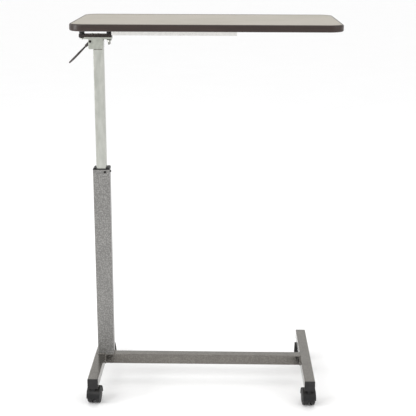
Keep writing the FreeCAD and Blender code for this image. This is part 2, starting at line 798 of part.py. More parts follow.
def make_collar():
    """The black glide collar in the mouth of the mast, with a lug at each side."""
    body = new_body("glide_collar")
    flange = new_sketch(body, "XY_Plane")
    rectangle(flange, "mast_width", "mast_depth")
    pad(body, flange, "collar_flange")
    spigot = new_sketch(body, "XY_Plane")
    rectangle(spigot, "mast_bore_width - 2 * fit_gap", "mast_bore_depth - 2 * fit_gap")
    pad(body, spigot, "collar_spigot", back=True)
    inner = "(column_width / 2 + collar_gap)"
    for side, rise in ((-1, "left_lug_rise"), (1, "right_lug_rise")):
        lug = new_sketch(body, "XZ_Plane")
        width = "mast_width / 2 - %s" % inner
        rectangle(lug, width, rise, "%d * (mast_width / 2 + %s) / 2" % (side, inner),
                  "collar_flange + %s / 2" % rise)
        pad(body, lug, "mast_depth", middle=True)
    edge_x = value("mast_width") / 2
    across = runs_along(Y_AXIS)
    ease(body, "left_lug_round", lambda edge: across(edge) and outer_top(edge, -edge_x))
    ease(body, "right_lug_round", lambda edge: across(edge) and outer_top(edge, edge_x))
    mouth = new_sketch(body, "XY_Plane", "-collar_spigot")
    rectangle(mouth, "column_width + 2 * collar_gap", "column_depth + 2 * collar_gap")
    pocket(body, mouth, "collar_spigot + collar_flange + right_lug_rise", back=True)
    front = new_sketch(body, "XZ_Plane")
    circle(front, "screw_radius", "collar_screw_x", "-collar_screw_drop")
    pocket(body, front, "mast_depth", back=True)
    side = new_sketch(body, "YZ_Plane", "column_width / 2 + collar_gap + pilot_wall")
    circle(side, "screw_radius", "0", "-collar_screw_drop")
    pocket(body, side, "mast_width", back=True)
    place(body, "column_x", "0", "mast_top")


def outer_top(edge, x):
    """True for the highest long edge at one side of the collar."""
    box = edge.BoundBox
    return abs(box.XMin - x) < 1e-3 and box.ZMin > value("collar_flange") + 1


def make_collar_screws():
    level = "mast_top - collar_screw_drop"
    x = "column_x + collar_screw_x"
    face = "(-mast_depth / 2)"
    head = rod("collar_screw_head", "collar_screw_rise", x, "%s - collar_screw_rise" % face, level, "Y")
    depth = "(mast_depth - column_depth) / 2 - collar_gap - collar_screw_tip"
    shank = rod("screw_radius", depth, x, face, level, "Y")
    front = fuse(head, shank)
    wall = "column_x + mast_width / 2"
    head = rod("collar_screw_head", "collar_screw_rise", wall, "0", level, "X")
    length = "(mast_width - column_width) / 2 - collar_gap - pilot_wall - collar_screw_tip"
    shank = rod("screw_radius", length, "%s - (%s)" % (wall, length), "0", level, "X")
    piece(group(front, fuse(head, shank)), "collar_screws")


def make_foot_plate():
    plate = block("mast_bore_width - 2 * fit_gap", "mast_bore_depth - 2 * fit_gap", "foot_plate_thick",
                  "column_x", "0", "foot_top")
    holes = [rod("foot_bolt_radius", "foot_plate_thick", x, "0", "foot_top") for x in mast_bolt_places()]
    piece(cut(plate, fuse(*holes)), "mast_foot_plate")


def mast_bolt_places():
    return ["column_x - mast_bolt_spacing / 2", "column_x + mast_bolt_spacing / 2"]


def make_mast_bolts():
    solids = []
    for x in mast_bolt_places():
        washer = rod("washer_radius", "washer_thick", x, "0", "caster_height - washer_thick")
        head = hexagon("foot_bolt_flats", "foot_bolt_head", x, "0",
                       "caster_height - washer_thick - foot_bolt_head")
        shank = rod("foot_bolt_radius", "foot_plate_top - caster_height", x, "0", "caster_height")
        solids.append(fuse(washer, head, shank))
    piece(group(*solids), "mast_bolts")


# ---------------------------------------------------------- brake and springs

def make_release_rod():
    head = rod("rod_head_radius", "rod_head_thick", "column_x", "0", "rod_top - rod_head_thick")
    shank = rod("rod_radius", "rod_top - rod_head_thick - wedge_top_z + rod_thread",
                "column_x", "0", "wedge_top_z - rod_thread")
    piece(fuse(head, shank), "release_rod")


def make_rod_guide():
    """A nylon plug in the column that steadies the rod and seats its spring."""
    gap = "2 * (column_wall + fit_gap)"
    plug = block("column_width - %s" % gap, "column_depth - %s" % gap, "guide_length",
                 "column_x", "0", "guide_top - guide_length")
    hole = rod("rod_radius + hole_gap", "guide_length", "column_x", "0", "guide_top - guide_length")
    piece(cut(plug, hole), "rod_guide")


def make_coil(label, radius, wire, length, turns, level):
    """A compression spring, with the wire just clear of both of its seats."""
    body = new_body(label)
    profile = new_sketch(body, "XZ_Plane")
    circle(profile, "%s / 2" % wire, radius, "%s / 2" % wire)
    helix = body.newObject("PartDesign::AdditiveHelix", "coil")
    helix.Profile = profile
    helix.ReferenceAxis = (profile, ["V_Axis"])
    helix.Mode = "height-turns-angle"
    bind(helix, Height="%s - %s" % (length, wire), Turns=turns)
    doc.recompute()
    place(body, "column_x", "0", level)


def make_brake_housing():
    """The nylon block on the column's foot that carries the brake shoes."""
    body = new_body("brake_housing")
    profile = new_sketch(body, "XY_Plane")
    rectangle(profile, "mast_bore_width - 2 * housing_gap", "mast_bore_depth - 2 * housing_gap")
    pad(body, profile, "housing_length")
    socket = new_sketch(body, "XY_Plane", "housing_length")
    rectangle(socket, "column_width + 2 * fit_gap", "column_depth + 2 * fit_gap")
    pocket(body, socket, "housing_socket")
    well = new_sketch(body, "XY_Plane", "housing_length - housing_socket")
    rectangle(well, "wedge_bottom + 2 * wedge_side_gap", "shoe_depth + 2 * hole_gap")
    pocket(body, well, "housing_length - housing_socket - housing_floor")
    channel = new_sketch(body, "YZ_Plane")
    rectangle(channel, "shoe_depth + 2 * hole_gap", "shoe_height + 2 * hole_gap",
              "0", "shoe_bottom + shoe_height / 2 - housing_bottom")
    pocket(body, channel, "mast_width", middle=True)
    pins = new_sketch(body, "XZ_Plane")
    for side in (-1, 1):
        circle(pins, "screw_radius", "%d * column_width / 4" % side, "housing_length - housing_socket / 2")
    pocket(body, pins, "mast_depth", middle=True)
    place(body, "column_x", "0", "housing_bottom")


def make_housing_pins():
    """Two roll pins through the housing and the column."""
    depth = "mast_bore_depth - 2 * housing_gap - 2 * pin_end_gap"
    level = "column_bottom + housing_socket / 2"
    solids = []
    for side in (-1, 1):
        x = "column_x + %d * column_width / 4" % side
        solids.append(rod("screw_radius", depth, x, "-(%s) / 2" % depth, level, "Y"))
    piece(group(*solids), "housing_pins")


def make_wedge():
    """The steel wedge that spreads the shoes when the rod's spring lifts it."""
    body = new_body("brake_wedge")
    profile = new_sketch(body, "XZ_Plane")
    outline(profile, [("-wedge_bottom / 2", "0"), ("wedge_bottom / 2", "0"),
                      ("wedge_top / 2", "wedge_length"), ("-wedge_top / 2", "wedge_length")])
    pad(body, profile, "shoe_depth", middle=True)
    thread = new_sketch(body, "XY_Plane", "wedge_length")
    circle(thread, "rod_radius", "0", "0")
    pocket(body, thread, "rod_thread")
    place(body, "column_x", "0", "wedge_top_z - wedge_length")


def make_shoe(label, side):
    """A brake shoe with a sloping back that runs on the wedge."""
    body = new_body(label)
    profile = new_sketch(body, "XZ_Plane")
    outer = "%d * (mast_bore_width / 2 - shoe_gap)" % side
    low = "%d * (wedge_bottom / 2 + shoe_gap)" % side
    high = "%d * (wedge_bottom / 2 + shoe_gap - wedge_slope * shoe_height)" % side
    outline(profile, [(low, "0"), (outer, "0"), (outer, "shoe_height"), (high, "shoe_height")])
    pad(body, profile, "shoe_depth", middle=True)
    place(body, "column_x", "0", "shoe_bottom")


# ---------------------------------------------------------------------- base

def make_foot(label, side):
    """A square tube foot, with holes for the caster sockets and the mast bolt."""
    body = new_body(label)
    profile = new_sketch(body, "XZ_Plane")
    rectangle(profile, "tube_side", "tube_side", "0", "tube_side / 2")
    rectangle(profile, "tube_side - 2 * tube_wall", "tube_side - 2 * tube_wall", "0", "tube_side / 2")
    pad(body, profile, "tube_length", middle=True)
    along = runs_along(Y_AXIS)
    edge_x = value("tube_side") / 2
    ease(body, "tube_round", lambda edge: along(edge) and abs(abs(edge.BoundBox.XMin) - edge_x) < 1e-3)
    sockets = new_sketch(body, "XY_Plane")
    for end in (-1, 1):
        circle(sockets, "socket_radius + hole_gap", "0", "%d * caster_y" % end)
    pocket(body, sockets, "tube_side / 2", back=True)
    if side < 0:
        bolt = new_sketch(body, "XY_Plane")
        circle(bolt, "foot_bolt_radius + hole_gap", "column_x - mast_bolt_spacing / 2 + foot_x")
        pocket(body, bolt, "tube_side", back=True)
    place(body, "%d * foot_x" % side, "0", "caster_height")


def make_beam():
    """The square tube between the feet, drilled for the second mast bolt."""
    body = new_body("cross_beam")
    profile = new_sketch(body, "YZ_Plane")
    rectangle(profile, "tube_side", "tube_side", "0", "tube_side / 2")
    rectangle(profile, "tube_side - 2 * tube_wall", "tube_side - 2 * tube_wall", "0", "tube_side / 2")
    pad(body, profile, "beam_length", middle=True)
    along = runs_along(X_AXIS)
    edge_y = value("tube_side") / 2
    ease(body, "tube_round", lambda edge: along(edge) and abs(abs(edge.BoundBox.YMin) - edge_y) < 1e-3)
    bolt = new_sketch(body, "XY_Plane")
    circle(bolt, "foot_bolt_radius + hole_gap", "column_x + mast_bolt_spacing / 2")
    pocket(body, bolt, "tube_side", back=True)
    place(body, "0", "0", "caster_height")


def make_cap(label, side, end):
    """A black push-in cap for the open end of a foot."""
    body = new_body(label)
    head = new_sketch(body, "XZ_Plane")
    rectangle(head, "tube_side", "tube_side", "0", "tube_side / 2")
    pad(body, head, "cap_head", back=True)
    ease(body, "tube_round", runs_along(Y_AXIS))
    ease(body, "cap_round", lies_at(Y_AXIS, 0))
    plug = new_sketch(body, "XZ_Plane", "-cap_head")
    bore = "tube_side - 2 * tube_wall - 2 * fit_gap"
    rectangle(plug, bore, bore, "0", "tube_side / 2")
    rectangle(plug, "%s - 2 * cap_plug_wall" % bore, "%s - 2 * cap_plug_wall" % bore, "0", "tube_side / 2")
    pad(body, plug, "cap_plug", back=True)
    body.Placement = FreeCAD.Placement(FreeCAD.Vector(), FreeCAD.Rotation(Z_AXIS, 0 if end < 0 else 180))
    place(body, "%d * foot_x" % side, "%d * foot_length / 2" % end, "caster_height")


# -------------------------------------------------------------------- casters

def make_sockets():
    """Steel sleeves pressed into the feet, one for each caster."""
    solids = []
    for side in (-1, 1):
        for end in (-1, 1):
            x = "%d * foot_x" % side
            y = "%d * caster_y" % end
            sleeve = rod("socket_radius", "socket_length", x, y, "caster_height")
            flange = rod("socket_radius + socket_lip", "socket_flange", x, y, "stem_seat")
            bore = rod("stem_radius + running_gap", "socket_length + socket_flange", x, y, "stem_seat")
            solids.append(cut(fuse(sleeve, flange), bore))
    piece(group(*solids), "caster_sockets")


def turned(item, x, y, yaw):
    """Stand a caster's piece on its stem axis and swing it round."""
    item.Placement = FreeCAD.Placement(FreeCAD.Vector(), FreeCAD.Rotation(Z_AXIS, 1))
    bind(item, Placement__Rotation__Angle=yaw)
    return place(item, x, y)


def make_stem(name, x, y):
    """The post pressed up into the foot, with the king pin that the hood turns on."""
    post = rod("stem_radius", "socket_length + socket_flange - tip_gap", x, y, "stem_seat")
    collar = rod("stem_radius + stem_collar_lip", "stem_collar", x, y, "stem_seat - stem_collar")
    king = rod("king_radius", "king_length", x, y, "stem_seat - stem_collar - king_length")
    piece(fuse(post, collar, king), "caster_stem_" + name)


def make_hood(name, x, y, yaw):
    """The swivelling hood: a middle web, a fender over both wheels and a boss."""
    body = new_body("caster_hood_" + name)
    fender = new_sketch(body, "YZ_Plane")
    circle(fender, "hood_radius", "caster_trail", "wheel_radius")
    circle(fender, "wheel_radius + hood_gap", "caster_trail", "wheel_radius")
    pad(body, fender, "caster_width - 2 * hood_inset", middle=True)
    open_below(body, "wheel_radius - hood_lift", "2 * caster_width")
    web = new_sketch(body, "YZ_Plane")
    circle(web, "hood_radius - hood_wall / 2", "caster_trail", "wheel_radius")
    pad(body, web, "web_width", middle=True)
    open_below(body, "wheel_radius - web_drop", "web_width")
    neck = new_sketch(body, "YZ_Plane")
    rectangle(neck, "2 * (king_radius + web_wall)", "hood_top - wheel_radius",
              "0", "(hood_top + wheel_radius) / 2")
    pad(body, neck, "web_width", middle=True)
    boss = new_sketch(body, "XY_Plane", "hood_top")
    circle(boss, "boss_radius")
    pad(body, boss, "hood_top - 2 * wheel_radius - hood_gap / 2", back=True)
    ease(body, "hood_round", is_hood_rim)
    hole = new_sketch(body, "XY_Plane", "hood_top")
    circle(hole, "king_radius + running_gap")
    pocket(body, hole, "king_length + tip_gap")
    axle = new_sketch(body, "YZ_Plane")
    circle(axle, "axle_radius", "caster_trail", "wheel_radius")
    pocket(body, axle, "web_width", middle=True)
    turned(body, x, y, yaw)


def open_below(body, level, width):
    """Cut a caster's hood away below a level."""
    lower = new_sketch(body, "YZ_Plane")
    rectangle(lower, "4 * hood_radius", "2 * hood_radius", "caster_trail", "%s - hood_radius" % level)
    pocket(body, lower, width, middle=True)


def is_hood_rim(edge):
    """True for the round outer edges of the fender."""
    if not isinstance(edge.Curve, Part.Circle):
        return False
    return abs(edge.Curve.Radius - value("hood_radius")) < 1e-3


def make_axle(name, x, y, yaw):
    """The axle pin through the hood's web."""
    body = new_body("caster_axle_" + name)
    profile = new_sketch(body, "YZ_Plane")
    circle(profile, "axle_radius", "caster_trail", "wheel_radius")
    pad(body, profile, "2 * axle_reach", middle=True)
    turned(body, x, y, yaw)


def make_wheel(name, hand, x, y, yaw):
    """One of a caster's two wheels: a hollow back, a crowned tread, a closed face."""
    body = new_body("caster_wheel_%s_%s" % (name, "left" if hand < 0 else "right"))
    profile = new_sketch(body, "XY_Plane")
    bore = "axle_radius + running_gap"
    inner = "(caster_width / 2 - wheel_width)"
    outer = "(caster_width / 2)"
    corners = [
        (inner, bore), (inner, "wheel_hub"),
        (inner + " + wheel_dish", "wheel_hub"), (inner + " + wheel_dish", "wheel_radius - wheel_rim"),
        (inner, "wheel_radius - wheel_rim"), (inner, "wheel_radius"),
        (outer + " - face_bevel", "wheel_radius"),
        (outer + " - face_rim_depth", "wheel_radius - face_rim"),
        (outer + " - groove_depth", "wheel_radius - groove_start"),
        (outer + " - dome_depth", "wheel_radius - groove_end"),
        (outer, "dome_radius"), (outer, "0"),
        ("axle_reach + axle_end_gap", "0"), ("axle_reach + axle_end_gap", bore)]
    outline(profile, [("%d * (%s)" % (hand, a), b) for a, b in corners])
    spin(body, profile, "H_Axis")
    ease(body, "tread_round", is_tread_edge)
    turned(body, x, y, yaw)
    place(body, "%s - caster_trail * sin(%s * 1deg)" % (x, yaw),
          "%s + caster_trail * cos(%s * 1deg)" % (y, yaw), "wheel_radius")


def is_tread_edge(edge):
    """True for the edges of a wheel's tread."""
    if not isinstance(edge.Curve, Part.Circle):
        return False
    return abs(edge.Curve.Radius - value("wheel_radius")) < 1e-3


def make_caster(name, side, end):
    where = ("%d * foot_x" % side, "%d * caster_y" % end, "yaw_" + name)
    make_stem(name, *where[:2])
    make_hood(name, *where)
    make_axle(name, *where)
    make_wheel(name, -1, *where)
    make_wheel(name, 1, *where)


# ------------------------------------------------------------------- assembly

make_core()
slab("tabletop_laminate", "sheet_thick", "laminate_top - sheet_thick")
make_backing()
make_edge_band()
make_rail("rail_front", -1)
make_rail("rail_back", 1)
make_rail_screws()
make_strap()
make_strap_screws()
make_bushes_and_bolts()
make_bracket()
make_yoke()
make_handle()
make_lever_pin()
make_column()
make_mast()
make_collar()
make_collar_screws()
make_foot_plate()
make_mast_bolts()
make_release_rod()
make_rod_guide()
make_coil("brake_spring", "brake_spring_radius", "brake_wire", "brake_spring_length",
          "brake_turns", "guide_top")
make_coil("lift_spring", "lift_spring_radius", "lift_wire", "housing_bottom - foot_plate_top",
          "lift_turns", "foot_plate_top")
make_brake_housing()
make_housing_pins()
make_wedge()
make_shoe("brake_shoe_left", -1)
make_shoe("brake_shoe_right", 1)
make_foot("left_foot", -1)
make_foot("right_foot", 1)
make_beam()
make_sockets()
for side, side_name in ((-1, "left"), (1, "right")):
    for end, end_name in ((-1, "front"), (1, "back")):
        make_cap("end_cap_%s_%s" % (end_name, side_name), side, end)
        make_caster("%s_%s" % (end_name, side_name), side, end)
doc.recompute()


# --------------------------------------------------------- checks and export

def check_document():
    for item in doc.Objects:
        if "Invalid" in item.State or "Error" in item.State:
            raise RuntimeError("%s failed to build: %s" % (item.Label, item.State))
    for item in pieces:
        if item.Shape.isNull() or not item.Shape.isValid() or not item.Shape.Solids:
            raise RuntimeError("%s has no valid shape" % item.Label)


check_document()
os.makedirs("parts", exist_ok=True)
for item in pieces:
    item.Shape.exportStep("parts/%s.step" % item.Label)
print("%d sub-parts" % len(pieces))
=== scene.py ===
import json
import math

import bmesh
import bpy
from mathutils import Matrix, Vector


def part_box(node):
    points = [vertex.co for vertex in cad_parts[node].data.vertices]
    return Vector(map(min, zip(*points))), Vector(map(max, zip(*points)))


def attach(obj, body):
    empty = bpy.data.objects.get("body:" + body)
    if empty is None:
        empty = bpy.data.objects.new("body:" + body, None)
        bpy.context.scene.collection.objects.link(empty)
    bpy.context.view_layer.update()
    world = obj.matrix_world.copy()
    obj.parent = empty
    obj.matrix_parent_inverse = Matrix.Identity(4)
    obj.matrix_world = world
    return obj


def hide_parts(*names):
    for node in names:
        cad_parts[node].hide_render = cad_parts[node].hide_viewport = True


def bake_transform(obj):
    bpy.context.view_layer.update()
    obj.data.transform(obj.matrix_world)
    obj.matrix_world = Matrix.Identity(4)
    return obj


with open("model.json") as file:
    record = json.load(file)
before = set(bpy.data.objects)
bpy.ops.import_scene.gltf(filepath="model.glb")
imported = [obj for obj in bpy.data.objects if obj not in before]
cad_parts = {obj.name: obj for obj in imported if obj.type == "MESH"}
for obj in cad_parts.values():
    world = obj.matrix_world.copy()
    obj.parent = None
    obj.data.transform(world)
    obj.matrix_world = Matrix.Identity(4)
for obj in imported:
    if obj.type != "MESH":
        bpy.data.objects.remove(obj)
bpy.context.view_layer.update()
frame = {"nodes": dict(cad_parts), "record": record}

# Overbed table. The imported frame holds every part's shape. This script gives each part its
# finish, and adds the edge trim, the weld beads, the cross-head screws, the threaded bolts
# and the two springs.
# Lengths are in metres; X runs along the top, Y to the back and Z up.

nodes = frame["nodes"]
CASTERS = [(end, side) for end in ("front", "back") for side in ("left", "right")]


def srgb(red, green, blue):
    """A linear colour with full alpha, from three parts out of 255."""
    def linear(part):
        part /= 255
        return part / 12.92 if part <= 0.04045 else ((part + 0.055) / 1.055) ** 2.4
    return (linear(red), linear(green), linear(blue), 1.0)


# ------------------------------------------------------------------- finishes

class Finish:
    """A material being mixed: its shader, and short calls for the patterns that feed it."""

    def __init__(self, name, metallic=0.0, coat=0.0, coat_rough=0.1, specular=0.5,
                 anisotropic=0.0):
        self.material = bpy.data.materials.new(name)
        self.material.use_nodes = True
        self.tree = self.material.node_tree
        self.tree.nodes.clear()
        output = self.node("ShaderNodeOutputMaterial")
        self.shader = self.node("ShaderNodeBsdfPrincipled")
        self.tree.links.new(self.shader.outputs[0], output.inputs["Surface"])
        self.shader.inputs["Metallic"].default_value = metallic
        self.shader.inputs["Coat Weight"].default_value = coat
        self.shader.inputs["Coat Roughness"].default_value = coat_rough
        self.shader.inputs["Specular IOR Level"].default_value = specular
        self.shader.inputs["Anisotropic"].default_value = anisotropic

    def node(self, kind, **settings):
        """A new node with its properties set."""
        item = self.tree.nodes.new(kind)
        for key, value in settings.items():
            setattr(item, key, value)
        return item

    def feed(self, socket, value):
        """Set a socket to a number or a colour, or join it to another node."""
        if isinstance(value, bpy.types.NodeSocket):
            self.tree.links.new(value, socket)
        else:
            socket.default_value = value

    def at(self, size, source="Object"):
        """Coordinates counted in patterns of the given size: one length, or one for each axis."""
        sizes = (size,) * 3 if isinstance(size, float) else size
        where = self.node("ShaderNodeTexCoord")
        mapping = self.node("ShaderNodeMapping")
        self.feed(mapping.inputs["Vector"], where.outputs[source])
        mapping.inputs["Scale"].default_value = [1 / part for part in sizes]
        return mapping.outputs[0]

    def noise(self, size, detail=3.0, rough=0.5, warp=0.0, source="Object"):
        """A cloudy pattern from 0 to 1, its clouds about as long as size."""
        item = self.node("ShaderNodeTexNoise")
        self.feed(item.inputs["Vector"], self.at(size, source))
        item.inputs["Scale"].default_value = 1.0
        item.inputs["Detail"].default_value = detail
        item.inputs["Roughness"].default_value = rough
        item.inputs["Distortion"].default_value = warp
        return item.outputs[0]

    def cells(self, where, smooth=None):
        """Distance from the middle of the nearest cell, with soft borders if smooth is given."""
        item = self.node("ShaderNodeTexVoronoi", feature="SMOOTH_F1" if smooth else "F1")
        self.feed(item.inputs["Vector"], where)
        item.inputs["Scale"].default_value = 1.0
        item.inputs["Randomness"].default_value = 1.0
        if smooth:
            item.inputs["Smoothness"].default_value = smooth
        return item.outputs[0]

    def sums(self, operation, first, second=0.0):
        """One sum of two values, such as ADD or MULTIPLY."""
        item = self.node("ShaderNodeMath", operation=operation)
        self.feed(item.inputs[0], first)
        self.feed(item.inputs[1], second)
        return item.outputs[0]

    def span(self, value, low, high, to_low=0.0, to_high=1.0):
        """Map a value from one span to another, held inside it."""
        item = self.node("ShaderNodeMapRange")
        self.feed(item.inputs["Value"], value)
        ends = {"From Min": low, "From Max": high, "To Min": to_low, "To Max": to_high}
        for name, number in ends.items():
            item.inputs[name].default_value = number
        return item.outputs[0]

    def tint(self, share, low, high):
        """Blend two colours by a share from 0 to 1."""
        item = self.node("ShaderNodeMix", data_type="RGBA")
        # The node also has number and vector sockets, so its colour sockets come later.
        first_colour, second_colour = item.inputs[6], item.inputs[7]
        self.feed(item.inputs[0], share)
        self.feed(first_colour, low)
        self.feed(second_colour, high)
        return item.outputs[2]

    def facing(self, axis):
        """How far the surface faces along an axis, from -1 to 1."""
        geometry = self.node("ShaderNodeNewGeometry")
        split = self.node("ShaderNodeSeparateXYZ")
        self.feed(split.inputs[0], geometry.outputs["True Normal"])
        return split.outputs["XYZ".index(axis)]

    def edges(self, radius):
        """One on the sharp edges and zero on the flats, by how far a rounding turns the normal."""
        flat_cosine, edge_cosine = 0.995, 0.85
        geometry = self.node("ShaderNodeNewGeometry")
        dot = self.node("ShaderNodeVectorMath", operation="DOT_PRODUCT")
        self.feed(dot.inputs[0], self.rounded(radius))
        self.feed(dot.inputs[1], geometry.outputs["Normal"])
        return self.span(dot.outputs["Value"], flat_cosine, edge_cosine)

    def relief(self, height, depth, under=None):
        """A bump of the given depth in metres, on top of another one."""
        item = self.node("ShaderNodeBump")
        item.inputs["Strength"].default_value = 1.0
        item.inputs["Distance"].default_value = depth
        self.feed(item.inputs["Height"], height)
        if under is not None:
            self.feed(item.inputs["Normal"], under)
        return item.outputs[0]

    def rounded(self, radius):
        """The surface's normal with its sharp edges rounded over."""
        item = self.node("ShaderNodeBevel", samples=4)
        item.inputs["Radius"].default_value = radius
        return item.outputs[0]

    def finish(self, colour, rough, normal=None):
        """Feed the shader and hand the material over."""
        self.feed(self.shader.inputs["Base Color"], colour)
        self.feed(self.shader.inputs["Roughness"], rough)
        if normal is not None:
            self.feed(self.shader.inputs["Normal"], normal)
        return self.material


# How far, in metres, an edge's wear and its rounding reach on most parts.
WEAR_REACH = 0.0008
SOFT_EDGE = 0.0005


def laminate():
    """Pale greige laminate: short fibres along the top, fine dots and wiping marks."""
    mix = Finish("laminate", specular=0.35)
    fibres = mix.noise((0.030, 0.0011, 0.0011), detail=4, rough=0.6)
    dots = mix.noise(0.0009, detail=2)
    clouds = mix.noise((0.16, 0.10, 0.1), detail=3, rough=0.55)
    share = mix.sums("ADD", mix.span(fibres, 0.35, 0.65, 0, 0.55),
                     mix.span(dots, 0.3, 0.7, 0, 0.45))
    colour = mix.tint(share, srgb(132, 127, 113), srgb(160, 154, 139))
    colour = mix.tint(mix.span(clouds, 0.35, 0.65, 0, 0.35), colour, srgb(166, 156, 147))
    wiping = mix.noise((0.09, 0.004, 0.01), detail=5, rough=0.65, warp=0.4)
    rough = mix.span(mix.sums("ADD", wiping, dots), 0.7, 1.35, 0.36, 0.5)
    skin = mix.relief(mix.noise(0.0016, detail=2), 0.00003)
    return mix.finish(colour, rough, mix.relief(fibres, 0.000015, skin))


def edge_vinyl():
    """Dark brown moulded trim, with a faint grain that runs along it."""
    mix = Finish("edge_vinyl", coat=0.08, coat_rough=0.25, specular=0.4)
    grain = mix.noise((0.075, 0.0009, 1), detail=5, rough=0.62, warp=0.25, source="UV")
    pores = mix.noise((0.012, 0.0004, 1), detail=2, source="UV")
    clouds = mix.noise((0.22, 0.03, 1), detail=2, source="UV")
    share = mix.sums("MULTIPLY", mix.span(grain, 0.32, 0.68),
                     mix.span(clouds, 0.3, 0.7, 0.55, 1.0))
    colour = mix.tint(share, srgb(27, 16, 12), srgb(58, 42, 35))
    colour = mix.tint(mix.span(pores, 0.62, 0.72, 0, 0.5), colour, srgb(30, 22, 19))
    scuffs = mix.noise((0.03, 0.006, 1), detail=6, rough=0.7, source="UV")
    rough = mix.span(scuffs, 0.3, 0.7, 0.30, 0.48)
    low = mix.relief(grain, 0.00008)
    return mix.finish(colour, rough, mix.relief(pores, 0.00005, low))


def hammer_paint(name, dark, light, cell, depth, contrast, rough, metallic):
    """Hammered enamel: rounded pebbles of metallic paint with darker veins between."""
    mix = Finish(name, metallic=metallic, specular=0.5)
    # The cells' places are pushed about by a colour noise, so that no pebble is straight-sided.
    drift = mix.node("ShaderNodeVectorMath", operation="MULTIPLY_ADD")
    swirl = mix.node("ShaderNodeTexNoise")
    where = mix.at((cell, cell, cell * 1.25))
    mix.feed(swirl.inputs["Vector"], where)
    swirl.inputs["Scale"].default_value = 0.9
    swirl.inputs["Detail"].default_value = 2.0
    mix.feed(drift.inputs[0], swirl.outputs["Color"])
    drift.inputs[1].default_value = (1.1, 1.1, 1.1)
    mix.feed(drift.inputs[2], where)
    pebbles = mix.cells(drift.outputs[0], smooth=0.35)
    crowns = mix.span(pebbles, 0.12, 0.62, 1, 0)
    fine = mix.noise(cell * 0.22, detail=3, rough=0.6)
    clouds = mix.noise((cell * 6, cell * 6, cell * 14), detail=3)
    share = mix.sums("MULTIPLY", crowns, contrast)
    share = mix.sums("ADD", share, mix.span(fine, 0.3, 0.7, 0, 1 - contrast))
    colour = mix.tint(share, dark, light)
    colour = mix.tint(mix.span(clouds, 0.4, 0.7, 0, 0.25), colour, dark)
    worn = mix.edges(0.0012)
    chipping = mix.noise((0.012, 0.012, 0.02), detail=5)
    chips = mix.sums("MULTIPLY", worn, mix.span(chipping, 0.52, 0.62))
    colour = mix.tint(mix.sums("MULTIPLY", chips, 0.45), colour, srgb(176, 174, 168))
    gloss = mix.span(fine, 0.3, 0.7, rough - 0.04, rough + 0.06)
    shape = mix.relief(crowns, depth, mix.rounded(0.0009))
    return mix.finish(colour, gloss, mix.relief(fine, depth * 0.15, shape))


def column_plate():
    """Satin chrome on the drawn inner tube, with draw lines and faint rub marks."""
    mix = Finish("column_plate", metallic=1.0, specular=0.5, anisotropic=0.35)
    lines = mix.noise((0.0008, 0.0008, 0.25), detail=4, rough=0.6)
    clouds = mix.noise((0.014, 0.014, 0.05), detail=3, rough=0.6)
    rub = mix.noise((0.003, 0.003, 0.09), detail=4, rough=0.7)
    share = mix.sums("ADD", mix.span(lines, 0.3, 0.7, 0, 0.4),
                     mix.span(clouds, 0.35, 0.65, 0, 0.6))
    colour = mix.tint(share, srgb(168, 170, 163), srgb(194, 195, 189))
    rough = mix.span(mix.sums("ADD", rub, clouds), 0.7, 1.3, 0.26, 0.42)
    return mix.finish(colour, rough, mix.relief(lines, 0.00002, mix.rounded(0.0006)))


def brushed(name, dark, light, along, low, high):
    """Plated sheet steel, rolled along one axis, with duller blotches."""
    mix = Finish(name, metallic=1.0, specular=0.5, anisotropic=0.25)
    size = [0.12 if axis == along else 0.0009 for axis in "XYZ"]
    lines = mix.noise(size, detail=4, rough=0.65)
    blotches = mix.noise(0.009, detail=4, rough=0.6)
    share = mix.sums("ADD", mix.span(lines, 0.3, 0.7, 0, 0.5),
                     mix.span(blotches, 0.35, 0.65, 0, 0.5))
    worn = mix.sums("MULTIPLY", mix.edges(WEAR_REACH), 0.4)
    colour = mix.tint(worn, mix.tint(share, dark, light), srgb(214, 213, 208))
    rough = mix.span(mix.sums("ADD", lines, blotches), 0.75, 1.25, low, high)
    return mix.finish(colour, rough, mix.relief(lines, 0.00002, mix.rounded(0.0004)))


def zinc():
    """Bright zinc on screws, nuts and pins, with a crystalline bloom."""
    mix = Finish("zinc", metallic=1.0, specular=0.5)
    bloom = mix.cells(mix.at(0.0022))
    stain = mix.noise(0.006, detail=4, rough=0.65)
    colour = mix.tint(mix.span(bloom, 0.1, 0.8), srgb(196, 196, 190), srgb(168, 169, 166))
    colour = mix.tint(mix.span(stain, 0.55, 0.72, 0, 0.5), colour, srgb(150, 141, 120))
    rough = mix.span(stain, 0.3, 0.7, 0.24, 0.42)
    return mix.finish(colour, rough, mix.relief(stain, 0.00004, mix.rounded(0.00025)))


def plain_steel(name, dark, light):
    """Uncoated, lightly oiled steel of the hidden parts and springs."""
    mix = Finish(name, metallic=1.0, specular=0.5)
    mottle = mix.noise(0.007, detail=5, rough=0.65)
    fine = mix.noise(0.0008, detail=3)
    colour = mix.tint(mix.span(mottle, 0.35, 0.65), dark, light)
    rough = mix.span(mix.sums("ADD", mottle, fine), 0.8, 1.2, 0.28, 0.46)
    return mix.finish(colour, rough, mix.relief(fine, 0.00002, mix.rounded(0.0003)))


def dip_paint(name, dark, light, rough, coat):
    """Thick dark brown enamel that pools at the edges, with a few rubbed spots."""
    mix = Finish(name, coat=coat, coat_rough=0.2, specular=0.4)
    skin = mix.noise(0.0024, detail=2)
    clouds = mix.noise(0.02, detail=3)
    colour = mix.tint(mix.span(clouds, 0.3, 0.7), dark, light)
    spots = mix.noise(0.006, detail=4)
    rub = mix.sums("MULTIPLY", mix.edges(WEAR_REACH), mix.span(spots, 0.5, 0.62))
    colour = mix.tint(mix.sums("MULTIPLY", rub, 0.6), colour, srgb(126, 120, 112))
    gloss = mix.span(clouds, 0.3, 0.7, rough - 0.05, rough + 0.08)
    return mix.finish(colour, gloss, mix.relief(skin, 0.00006, mix.rounded(SOFT_EDGE)))


